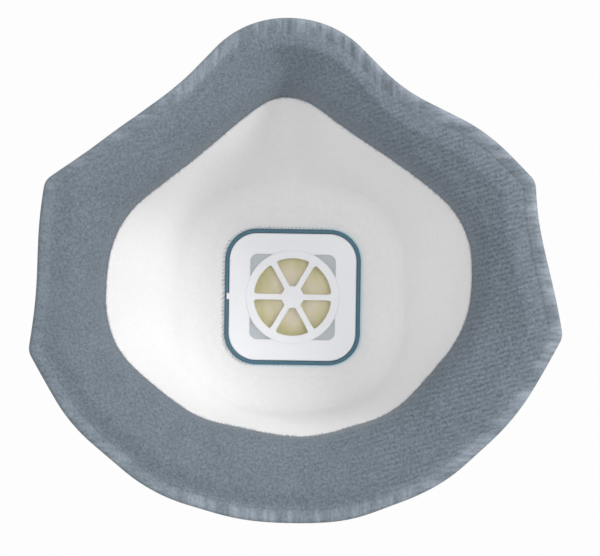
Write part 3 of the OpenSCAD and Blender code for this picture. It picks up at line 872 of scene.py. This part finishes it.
class LoopSolid:
    def __init__(self, turn=True):
        self.verts, self.faces, self.flat, self.seen = [], [], [], {}
        self.turn = turn

    def index(self, x, y, z):
        key = (round(x, 4), round(y, 4), round(z, 4))
        if key not in self.seen:
            self.seen[key] = len(self.verts)
            self.verts.append((x, y, z))
        return self.seen[key]

    def ring(self, loop, y):
        return [self.index(x, y, z) for x, z in loop]

    def band(self, a, ya, b, yb, flat=False):
        ra, rb = self.ring(a, ya), self.ring(b, yb)
        for k in range(len(ra)):
            m = (k + 1) % len(ra)
            face = [ra[k], ra[m], rb[m], rb[k]]
            face = [p for n, p in enumerate(face) if p != face[n - 1]]
            if len(set(face)) > 2:
                self.faces.append(face)
                self.flat.append(flat)

    def bevel(self, loop, wallY, topY, size, steps=4):
        sign = 1 if topY > wallY else -1
        last, lastY = loop, topY - sign * abs(size)
        self.band(loop, wallY, loop, lastY)
        for k in range(1, steps + 1):
            a = math.pi / 2 * k / steps
            now = inset(loop, size * (1 - math.cos(a)))
            nowY = topY - sign * abs(size) * (1 - math.sin(a))
            self.band(last, lastY, now, nowY)
            last, lastY = now, nowY
        return last

    def cap(self, loops, y):
        points, rims = [], []
        for loop in loops:
            rims.append(list(range(len(points), len(points) + len(loop))))
            points += [Vector((x, z)) for x, z in loop]
        coords, _, faces, _, _, _ = delaunay_2d_cdt(points, [], rims, 2, 1e-6)
        ids = [self.index(p.x, y, p.y) for p in coords]
        for face in faces:
            self.faces.append([ids[k] for k in face])
            self.flat.append(True)

    def piece(self, name, material, body, values=None):
        verts = np.array(self.verts)
        if self.turn:
            verts[:, [0, 2]] = turned(verts[:, [0, 2]])
        verts[:, 2] += cup["centre"]
        obj = makePiece(name, verts, self.faces, material, body, flat=self.flat, values=values)
        faceOutward(obj)
        return obj


def inset(loop, amount):
    before, after = np.roll(loop, 1, 0), np.roll(loop, -1, 0)
    e1, e2 = loop - before, after - loop
    n1, n2 = (np.stack([-e[:, 1], e[:, 0]], 1)
              / np.maximum(np.linalg.norm(e, axis=1), 1e-9)[:, None] for e in (e1, e2))
    n = unit(n1 + n2)
    scale = np.clip(1 / np.maximum(np.sum(n * n1, 1), 0.3), 1, 2)
    return loop + n * scale[:, None] * amount


def circleLoop(radius, steps=96):
    a = np.linspace(0, 2 * math.pi, steps, endpoint=False)
    return np.stack([radius * np.cos(a), radius * np.sin(a)], 1)


# Valve seat

seat = {
    "width": 37, "round": 8, "back": high("valve_body").y, "front": high("valve_body").y - 1.6,
    "port": 11.25, "ring": 13.6, "raised": 0.24, "spoke": 1.7, "flare": 0.22, "hub": 3.2,
    "pocket": 12.4, "pocketRound": 2.2, "pocketDepth": 0.7,
    "lip": 12.55, "lipEnd": high("diaphragm").y, "pin": 1.2, "pinEnd": low("valve_seat").y,
}


def sectorLoop(centre):
    half = seat["spoke"] / 2
    r = seat["port"]
    slope = math.radians(30)

    def onSpoke(t, sign, widen=0):
        across = half + widen
        return (t * math.cos(slope) + across * math.sin(slope),
                sign * (t * math.sin(slope) - across * math.cos(slope)))

    start = (seat["hub"] - half * math.sin(slope)) / math.cos(slope)
    reach = math.asin((half + seat["flare"]) / r)
    arc = [(r * math.cos(a), r * math.sin(a))
           for a in np.linspace(-slope + reach, slope - reach, 25)]
    corners = [(*onSpoke(start, -1), 0.25), (*onSpoke(r - 1.3, -1), 1.5), (*arc[0], 0.4)]
    corners += [(x, z, 0) for x, z in arc[2:-2]]
    corners += [(*arc[-1], 0.4), (*onSpoke(r - 1.3, 1), 1.5), (*onSpoke(start, 1), 0.25)]
    return spin(cornerPath(corners, math.radians(8)), centre)


def pocketLoop(quarter):
    r, a = seat["ring"] + 0.12, seat["pocket"]
    b = math.sqrt(r * r - a * a)
    begin = math.atan2(b, a)
    arc = [(r * math.cos(t), r * math.sin(t), 0)
           for t in np.linspace(math.pi / 2 - begin, begin, 14)]
    loop = cornerPath([(a, a, seat["pocketRound"]), *arc], math.radians(8))
    return spin(loop, quarter * math.pi / 2)


def buildSeat():
    solid = LoopSolid()
    outer = squareLoop(seat["width"], seat["round"])
    sectors = [sectorLoop(math.radians(30 + 60 * k)) for k in range(6)]
    pockets = [pocketLoop(k) for k in range(4)]
    ring = circleLoop(seat["ring"])
    top, raised, under = seat["back"], seat["back"] + seat["raised"], seat["front"]
    plateTop = solid.bevel(outer, under + 0.2, top, 0.45)
    plateUnder = solid.bevel(outer, under + 0.2, under, 0.15, 2)
    ringTop = solid.bevel(ring, top, raised, 0.2, 4)
    holesTop = [solid.bevel(s, under + 0.2, raised, -0.22, 4) for s in sectors]
    holesUnder = [solid.bevel(s, under + 0.2, under, -0.12, 2) for s in sectors]
    floorY = top - seat["pocketDepth"]
    pocketTop = [solid.bevel(p, floorY, top, -0.15, 3) for p in pockets]
    for p in pockets:
        solid.cap([p], floorY)
    solid.cap([plateTop, ring, *pocketTop], top)
    solid.cap([ringTop, *holesTop], raised)
    lipOuter, lipInner = circleLoop(seat["lip"]), circleLoop(seat["port"] + 0.2)
    solid.cap([plateUnder, lipOuter], under)
    a = solid.bevel(lipOuter, under, seat["lipEnd"], 0.2, 3)
    b = solid.bevel(lipInner, under, seat["lipEnd"], -0.2, 3)
    solid.cap([a, b], seat["lipEnd"])
    pin = circleLoop(seat["pin"], 40)
    solid.cap([lipInner, pin, *holesUnder], under)
    solid.cap([solid.bevel(pin, under, seat["pinEnd"], 0.3, 3)], seat["pinEnd"])
    # Moulding tab at the middle of one side
    tab = squareLoop(2.0, 0.3, 4) * (0.46, 0.9) + (seat["width"] / 2 + 0.16, 0)
    tabTop = solid.bevel(tab, top - 0.5, high("valve_seat").y, 0.12, 3)
    solid.cap([tabTop], high("valve_seat").y)
    solid.cap([tab], top - 0.5)
    # Pocket floor vertices outside the ring carry the painted shade
    paintedPocketShade = [1.0 if abs(y - floorY) < 0.01 and math.hypot(x, z) > seat["ring"] else 0.0
              for x, y, z in solid.verts]
    obj = solid.piece("valveSeat", seatMaterial, "mask", {"paintedPocketShade": paintedPocketShade})
    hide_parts("valve_seat")


buildSeat()


# Frame around the seat, with its outer flange

surround = {
    "outer": 39.25, "round": 9.15, "wall": 1.05, "tongue": 1.6, "seatGap": 0.02,
    "flangeUp": 3.0, "flangeThick": 1.2,
}


def sweptSquare(solid, section, width, radius):
    loops = [(squareLoop(width + 2 * o, radius + o, 20), y) for o, y in section]
    for (a, ya), (b, yb) in zip(loops, loops[1:] + loops[:1]):
        solid.band(a, ya, b, yb)


def roundedSection(corners, steps=4):
    path = []
    for k, (x, y, r) in enumerate(corners):
        b = np.array((x, y), float)
        if not r:
            path.append(b)
            continue
        u = np.array(corners[k - 1][:2]) - b
        v = np.array(corners[(k + 1) % len(corners)][:2]) - b
        p = b + u / np.linalg.norm(u) * r
        q = b + v / np.linalg.norm(v) * r
        for t in np.linspace(0, 1, steps + 1):
            path.append((1 - t) ** 2 * p + 2 * t * (1 - t) * b + t * t * q)
    return path


def buildFrame():
    back, tip = high("valve_body").y, low("valve_body").y
    flangeBack = tip + surround["flangeUp"]
    flangeFront = flangeBack - surround["flangeThick"]
    tongue, ledge = -surround["tongue"], seat["front"] - surround["seatGap"]
    reach = high("valve_body").x - surround["outer"] / 2
    solid = LoopSolid()
    section = roundedSection([
        (-surround["wall"], back, 0.3), (0, back, 0.35), (0, flangeBack, 0.2),
        (reach, flangeBack, 0.25), (reach, flangeFront, 0.35), (0, flangeFront, 0.2),
        (0, tip, 0.3), (tongue, tip, 0.3), (tongue, ledge, 0), (-surround["wall"], ledge, 0),
    ])
    sweptSquare(solid, section, surround["outer"], surround["round"])
    obj = solid.piece("valveFrame", frameMaterial, "mask")
    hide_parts("valve_body")


buildFrame()


# Diaphragm

disc = {"hole": 1.26, "boss": 2.6, "web": 3.0, "thinned": 0.08, "sag": 0.05}


def buildDiaphragm():
    back, front, r = high("diaphragm").y, low("diaphragm").y, high("diaphragm").x
    hole, web, thinned = disc["hole"], disc["web"], disc["thinned"]
    section = [(hole, back - 0.05), (hole + 0.15, back), (disc["boss"], back),
               (web, back - thinned)]
    section += [(s, back - thinned - disc["sag"] * math.sin((s - web) / (r - web) * math.pi))
                for s in np.linspace(web + 0.4, r - 1.2, 22)]
    section += [(r - 0.7, back), (r - 0.3, back - 0.04), (r - 0.08, back - 0.15), (r, back - 0.3),
                (r - 0.08, front + 0.12), (r - 0.3, front), (r / 2, front), (hole + 0.15, front),
                (hole, front + 0.05)]
    solid = LoopSolid(False)
    for (a, ya), (b, yb) in zip(section, section[1:] + section[:1]):
        solid.band(circleLoop(a, 128), ya, circleLoop(b, 128), yb)
    fromAxis = [math.hypot(x, z) for x, _, z in solid.verts]
    obj = solid.piece("diaphragmDisc", rubberMaterial, "diaphragm", {"fromAxis": fromAxis})
    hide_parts("diaphragm")


buildDiaphragm()


# Vented cap

cap = {
    "width": 41.9, "round": 10.45, "wall": 1.2, "fillet": 2.2, "step": 0.35,
    "vents": 5, "pitch": 6.46, "ventWidth": 4.0, "ventTall": 2.9, "flare": 0.45,
    "postOuter": 2.5, "postInner": 1.5, "lift": 2.1,
}


def buildCap():
    base, front = high("valve_cover").y, low("valve_cover").y
    solid = LoopSolid()

    def nest(inside):
        width = cap["width"] - 2 * (cap["wall"] if inside else 0)
        radius = cap["round"] - (cap["wall"] if inside else 0)
        face = front + (cap["wall"] if inside else 0)
        fillet = cap["fillet"] - (cap["wall"] - 0.3 if inside else 0)
        steps = [(0, base), (0, face + fillet)]
        for k in range(1, 8):
            a = math.pi / 2 * k / 7
            steps.append((fillet * (1 - math.cos(a)), face + fillet * (1 - math.sin(a))))
        if not inside:
            sunk = face + cap["step"]
            steps += [(5.0, face), (5.15, face + 0.1), (5.3, sunk), (5.8, sunk),
                      (5.95, face + 0.1), (6.1, face)]
        for inward in (8.0, 9.0):
            steps.append((inward, face))
        loops = [(squareLoop(width - 2 * o, max(radius - o, 0.6), 20), y) for o, y in steps]
        for (a, ya), (b, yb) in zip(loops, loops[1:]):
            solid.band(a, ya, b, yb)
        solid.cap([loops[-1][0]], loops[-1][1])
        return loops[0][0]

    outer, inner = nest(False), nest(True)
    solid.band(outer, base, inner, base)
    obj = solid.piece("valveCap", frameMaterial, "mask")
    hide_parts("valve_cover")
    cutVents(obj, front)
    buildPost(front)


def cutVents(obj, front):
    # Slots with a small chamfer at their mouths
    verts, faces = [], []
    middleY = front + cap["wall"] + 0.5 + cap["ventTall"] / 2
    for turn in range(4):
        for k in range(cap["vents"]):
            shift = (k - (cap["vents"] - 1) / 2) * cap["pitch"]
            rings = []
            for grow, out in ((0, -3), (0, -cap["flare"]), (cap["flare"], 0), (cap["flare"], 2)):
                half = (cap["ventWidth"] / 2 + grow, cap["ventTall"] / 2 + grow * 0.6)
                loop = cornerPath([(sx * half[0], sy * half[1], 0.9)
                                   for sx, sy in ((1, 1), (-1, 1), (-1, -1), (1, -1))],
                                  math.radians(15))
                rings.append([(shift + x, middleY + y, cap["width"] / 2 + out) for x, y in loop])
            count = len(rings[0])
            start = len(verts)
            c, s = math.cos(turn * math.pi / 2), math.sin(turn * math.pi / 2)
            verts += [(x * c - z * s, y, x * s + z * c) for ring in rings for x, y, z in ring]
            for n in range(3):
                for m in range(count):
                    q = (m + 1) % count
                    faces.append([start + n * count + m, start + n * count + q,
                                  start + (n + 1) * count + q, start + (n + 1) * count + m])
            faces.append([start + m for m in range(count)])
            faces.append([start + 3 * count + m for m in reversed(range(count))])
    verts = np.array(verts)
    verts[:, [0, 2]] = turned(verts[:, [0, 2]])
    verts[:, 2] += cup["centre"]
    cutter = makePiece("ventCutter", verts, faces, frameMaterial, None)
    faceOutward(cutter)
    cut = obj.modifiers.new("vents", "BOOLEAN")
    cut.operation, cut.object, cut.solver = "DIFFERENCE", cutter, "EXACT"
    graph = bpy.context.evaluated_depsgraph_get()
    graph.update()
    made = bpy.data.meshes.new_from_object(obj.evaluated_get(graph))
    obj.modifiers.clear()
    obj.data = made
    bpy.data.objects.remove(cutter)
    made.set_sharp_from_angle(angle=math.radians(40))


def buildPost(front):
    # Post that stops the diaphragm's lift
    post = LoopSolid()
    tip = low("diaphragm").y - cap["lift"]
    outerPost, innerPost = circleLoop(cap["postOuter"], 48), circleLoop(cap["postInner"], 48)
    root = front + cap["wall"] / 2
    a = post.bevel(outerPost, root, tip, 0.2, 3)
    b = post.bevel(innerPost, root, tip, -0.2, 3)
    post.cap([a, b], tip)
    post.cap([outerPost, innerPost], root)
    stop = post.piece("valveCapPost", frameMaterial, "mask")


buildCap()
print("valve built")


# Nose clip

def flangeFrame(theta, fromRim, raised):
    theta = np.atleast_1d(np.asarray(theta, float))
    step = 0.004

    def outside(t, depthIn):
        rows, _, _ = profiles(t, (2, 4, 4, 4, 4, 2))
        rimPoint, foot = rows[:, -1], rows[:, -9]  # both on the straight flange
        p = rimPoint + unit(foot - rimPoint) * np.asarray(depthIn).reshape(-1, 1)
        return warp(np.stack([p[:, 0] * np.cos(t), p[:, 1],
                              cup["centre"] + p[:, 0] * np.sin(t)], 1))

    here = outside(theta, fromRim)
    along = outside(theta + step, fromRim) - outside(theta - step, fromRim)
    across = outside(theta, np.asarray(fromRim) - 0.5) - outside(theta, np.asarray(fromRim) + 0.5)
    normal = unit(np.cross(along, across))
    normal *= np.where(normal[:, 1] > 0, -1, 1)[:, None]
    return here + normal * (stack + raised), normal, unit(along)


clip = {"span": 70, "width": 5, "thick": 0.9, "inset": 12.5, "gap": 0.15, "tip": 2.5}


def buildClip():
    theta = np.linspace(math.radians(20), math.radians(160), 400)
    line, normal, along = flangeFrame(theta, np.full(len(theta), clip["inset"]), clip["gap"])
    keep = np.abs(line[:, 0]) < clip["span"] / 2 - 2
    line, normal, along = line[keep], normal[keep], along[keep]
    across = np.cross(normal, along)
    lengths = runLength(line)
    tip, ends = clip["tip"], np.linspace(0, 1, 14) ** 2 * clip["tip"]  # finer steps at the tips
    grid = np.unique(np.concatenate([ends, np.linspace(tip, lengths[-1] - tip, 150),
                                     lengths[-1] - ends]))
    pick = lambda data: np.stack([np.interp(grid, lengths, data[:, k]) for k in range(3)], 1)
    line, normal, across = pick(line), pick(normal), pick(across)
    near = np.minimum(grid, lengths[-1] - grid)
    half = clip["width"] / 2 * np.sqrt(np.clip(1 - (1 - np.clip(near / tip, 0, 1)) ** 2, 0.002, 1))
    u, v = oval(28, 0.35, 0.5)
    verts = line[:, None] + across[:, None] * (half[:, None] * u)[:, :, None] \
        + normal[:, None] * (clip["thick"] / 2 * (1 + v))[None, :, None]
    obj = makePiece("noseClip", verts.reshape(-1, 3), tubeFaces(*verts.shape[:2]), clipMaterial,
                    "mask")
    faceOutward(obj)
    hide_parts("nose_clip")


buildClip()


# Headbands

bands = {
    "width": 6.4, "thick": 1.2, "ribs": 7, "ribDepth": 0.07, "bend": 19.4, "endLength": 7.4,
    "endBack": 4.5, "fromRim": 11.3, "lean": 6.5, "pickDepth": 0.025, "pickPitch": 0.9, "waffle": 1.9,
    "neckStart": 2.4, "neckPull": 3.2, "neckEnd": 12, "legPull": 6.5, "leanOver": 24,
}
hinges = {j["child"]: Vector(j["pos_m"]) / mm for j in frame["joints"] if j["type"] == "hinge"}


def strapMesh(line, widths, normals, cross=72):
    u, v = oval(cross, 0.5, 0.45)
    rib = bands["ribDepth"] * np.cos(u * math.pi * bands["ribs"]) * (np.abs(v) > 0.5)
    pick = bands["pickDepth"] * np.cos(runLength(line) / bands["pickPitch"] * 2 * math.pi)
    across = bands["width"] / 2 * u
    height = (bands["thick"] / 2 - 0.08) * v + np.sign(v) * rib
    verts = line[:, None] + widths[:, None] * across[None, :, None] \
        + normals[:, None] * (height[None] + np.sign(v)[None] * pick[:, None])[:, :, None]
    return verts.reshape(-1, 3), tubeFaces(len(line), cross)


def resample(points, step):
    lengths = runLength(points)
    grid = np.linspace(0, lengths[-1], int(lengths[-1] / step) + 1)
    return np.stack([np.interp(grid, lengths, points[:, k]) for k in range(points.shape[1])], 1)


def patchPlace(node, sign):
    lowest, highest = low(node), high(node)
    middle = (lowest + highest) / 2
    thetas = np.linspace(-math.pi, math.pi, 1440)
    points, normals, _ = flangeFrame(thetas, np.full(len(thetas), bands["fromRim"]), 0)
    likely = np.where(np.sign(points[:, 0]) == sign,
                      np.abs(points[:, 2] - middle.z), 1e6)
    k = int(np.argmin(likely))
    normal = normals[k]
    along = unit(np.cross(normal, (0, 0, 1)))
    along *= 1 if along[0] * sign > 0 else -1
    across = np.cross(along, normal)
    return points[k], normal, along, across


def buildEnd(name, node, sign):
    spot, normal, along, across = patchPlace(node, sign)
    length, width = bands["endLength"], bands["width"]
    columns, rows = 66, 56
    back = bands["endBack"]
    a = np.linspace(-back, length - back, columns)[:, None]
    b = np.linspace(-width / 2, width / 2, rows)[None]
    edge = np.minimum(np.minimum(a + back, -back + length - a + 1.5), width / 2 - np.abs(b))
    top = (bands["thick"] - 0.25) * np.clip(np.sqrt(np.clip(edge / 0.35, 0, 1)), 0, 1) + 0.02
    waffle = np.abs(np.sin((a + b) * math.pi / bands["waffle"])
                    * np.sin((a - b) * math.pi / bands["waffle"]))
    inside = smooth((edge - 0.6) / 0.5)
    top = top - 0.45 * inside * smooth((waffle - 0.25) / 0.4)
    base = spot + along * a[..., None] + across * b[..., None]
    upper = base + normal * top[..., None]
    lower = base - normal * 0.25
    verts = np.concatenate([upper.reshape(-1, 3), lower.reshape(-1, 3)])
    half = columns * rows
    faces = gridFaces(columns, rows, closed=False).tolist()
    faces += gridFaces(columns, rows, half, closed=False, flip=True).tolist()
    border = [i * rows for i in range(columns)]
    border += [(columns - 1) * rows + j for j in range(1, rows)]
    border += [i * rows + rows - 1 for i in range(columns - 2, -1, -1)]
    border += list(range(rows - 2, 0, -1))
    for k in range(len(border)):
        m = (k + 1) % len(border)
        faces.append([border[k], border[m], half + border[m], half + border[k]])
    obj = makePiece(name, verts, faces, bandMaterial, "mask")
    faceOutward(obj)
    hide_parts(node)
    return spot + normal * (bands["thick"] / 2 - 0.1), along, across


def buildBand(name, body, ends, tilt):
    hinge = hinges[body]
    lowest, highest = low(body), high(body)
    forward = np.array((0, -math.cos(tilt), -math.sin(tilt)))
    wide = np.array((0, -math.sin(tilt), math.cos(tilt)))
    origin = np.array(hinge)
    half = highest.x - bands["thick"] / 2
    far = (hinge.y - lowest.y - bands["width"] / 2 * math.sin(tilt)) / math.cos(tilt) \
        - bands["thick"] / 2
    lean = bands["lean"] if tilt else 0
    starts = {}
    for side, node in ends.items():
        starts[side] = buildEnd(f"{name}End{'Left' if side > 0 else 'Right'}", node, side)
    line, widths = [], []
    for side in (1, -1):
        spot, along, across = starts[side]
        across = across * (1 if across @ wide > 0 else -1)
        middle = origin * (0, 1, 1)
        p0 = spot + along * bands["neckStart"]
        p3 = middle + forward * bands["neckEnd"] + np.array((side * half, 0, 0))
        p1, p2 = p0 + along * bands["neckPull"], p3 - forward * bands["legPull"]
        t = np.linspace(0, 1, 40)[:, None]
        neck = (1 - t) ** 3 * p0 + 3 * t * (1 - t) ** 2 * p1 \
            + 3 * t * t * (1 - t) * p2 + t ** 3 * p3
        turn = smooth(t)
        w = unit(across * (1 - turn) + wide * turn)
        bend = bands["bend"]
        leg = [middle + forward * d + np.array((side * half, 0, 0))
               for d in np.linspace(bands["neckEnd"] + 0.5, far - bend, 60)]
        arc = [middle + forward * (far - bend + bend * math.sin(a))
               + np.array((side * (half - bend + bend * math.cos(a)), 0, 0))
               for a in np.linspace(0.03, math.pi / 2, 50)]
        points = np.concatenate([neck, leg, arc])
        gone = (points - origin) @ forward
        points[:, 0] -= side * lean * smooth(gone / bands["leanOver"])
        wide3 = np.concatenate([w, np.repeat(wide[None], len(points) - len(w), 0)])
        line.append(points if side > 0 else points[::-1])
        widths.append(wide3 if side > 0 else wide3[::-1])
    gap = [line[0][-1] + (line[1][0] - line[0][-1]) * t for t in np.linspace(0, 1, 60)[1:-1]]
    line = np.concatenate([line[0], gap, line[1]])
    widths = np.concatenate([widths[0], np.repeat(wide[None], len(gap), 0), widths[1]])
    both = resample(np.concatenate([line, widths], 1), 0.45)
    line, widths = both[:, :3], both[:, 3:]
    tangent = unit(np.gradient(line, axis=0))
    widths = unit(widths - tangent * np.sum(widths * tangent, 1, keepdims=True))
    normals = np.cross(tangent, widths)
    verts, faces = strapMesh(line, widths, normals)
    obj = makePiece(name, verts, faces, bandMaterial, None)
    faceOutward(obj)
    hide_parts(body)
    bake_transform(obj)


buildBand("upperBand", "upper_headband",
          {1: "upper_band_end_left", -1: "upper_band_end_right"}, 0)
buildBand("lowerBand", "lower_headband",
          {1: "lower_band_end_left", -1: "lower_band_end_right"}, math.radians(12))
print("nose clip and headbands built")


# Floor, light and camera

studio = {
    "floor": -0.13, "floorSize": 1.6, "paper": 0.982, "below": 0.64, "ambient": 0.48,
    "key": 5.9, "fill": 1.25, "front": 1.85, "back": 3.0, "aim": (0, -0.02, 0),
}


def seenLevel(tree, lighting, shown):
    path = addNode(tree, "ShaderNodeLightPath")
    return addNode(tree, "ShaderNodeMapRange", {
        "Value": path.outputs["Is Camera Ray"], "To Min": lighting, "To Max": shown,
    }).outputs[0]


def emitter(name, lighting, shown):
    material = bpy.data.materials.new(name)
    material.use_nodes = True
    tree = material.node_tree
    tree.nodes.remove(tree.nodes["Principled BSDF"])
    glow = addNode(tree, "ShaderNodeEmission", {
        "Color": (1, 1, 1, 1), "Strength": seenLevel(tree, lighting, shown),
    })
    tree.links.new(glow.outputs[0], tree.nodes["Material Output"].inputs["Surface"])
    return material


def buildFloor():
    s = studio["floorSize"] / mm
    z = studio["floor"] / mm
    grid = np.linspace(-s, s, 9)
    verts = [(x, y, z) for x in grid for y in grid]
    paper = emitter("palePaper", studio["below"], studio["paper"])
    obj = makePiece("floor", verts, gridFaces(9, 9, closed=False), paper, None)


buildFloor()
world = bpy.data.worlds.new("studio")
scene.world = world
world.use_nodes = True
tree = world.node_tree
back = tree.nodes["Background"]
back.inputs["Color"].default_value = (1, 1, 1, 1)
tree.links.new(seenLevel(tree, studio["ambient"], studio["paper"]), back.inputs["Strength"])


def areaLight(name, place, size):
    data = bpy.data.lights.new(name, "AREA")
    data.shape = "DISK"
    data.size = size
    data.energy = studio[name]
    obj = bpy.data.objects.new(name, data)
    obj.location = place
    obj.rotation_euler = (Vector(studio["aim"]) - Vector(place)).to_track_quat("-Z", "Y").to_euler()
    scene.collection.objects.link(obj)


areaLight("key", (-0.68, 0.56, 0.5), 0.42)
areaLight("fill", (0.8, 0.5, 0.15), 0.6)
areaLight("front", (-0.15, 0.95, 0.05), 0.5)
areaLight("back", (0.45, -0.75, 0.55), 0.5)

cameraData = bpy.data.cameras.new("camera")
cameraData.lens, cameraData.sensor_width = 144.4, 36
cameraData.shift_x, cameraData.shift_y = 0.0549, 0.0185
camera = bpy.data.objects.new("camera", cameraData)
camera.location = (0.0074, 0.65, -0.0052)
camera.rotation_euler = (math.radians(90), 0, math.radians(180))
scene.collection.objects.link(camera)
scene.camera = camera

print("scene ready")
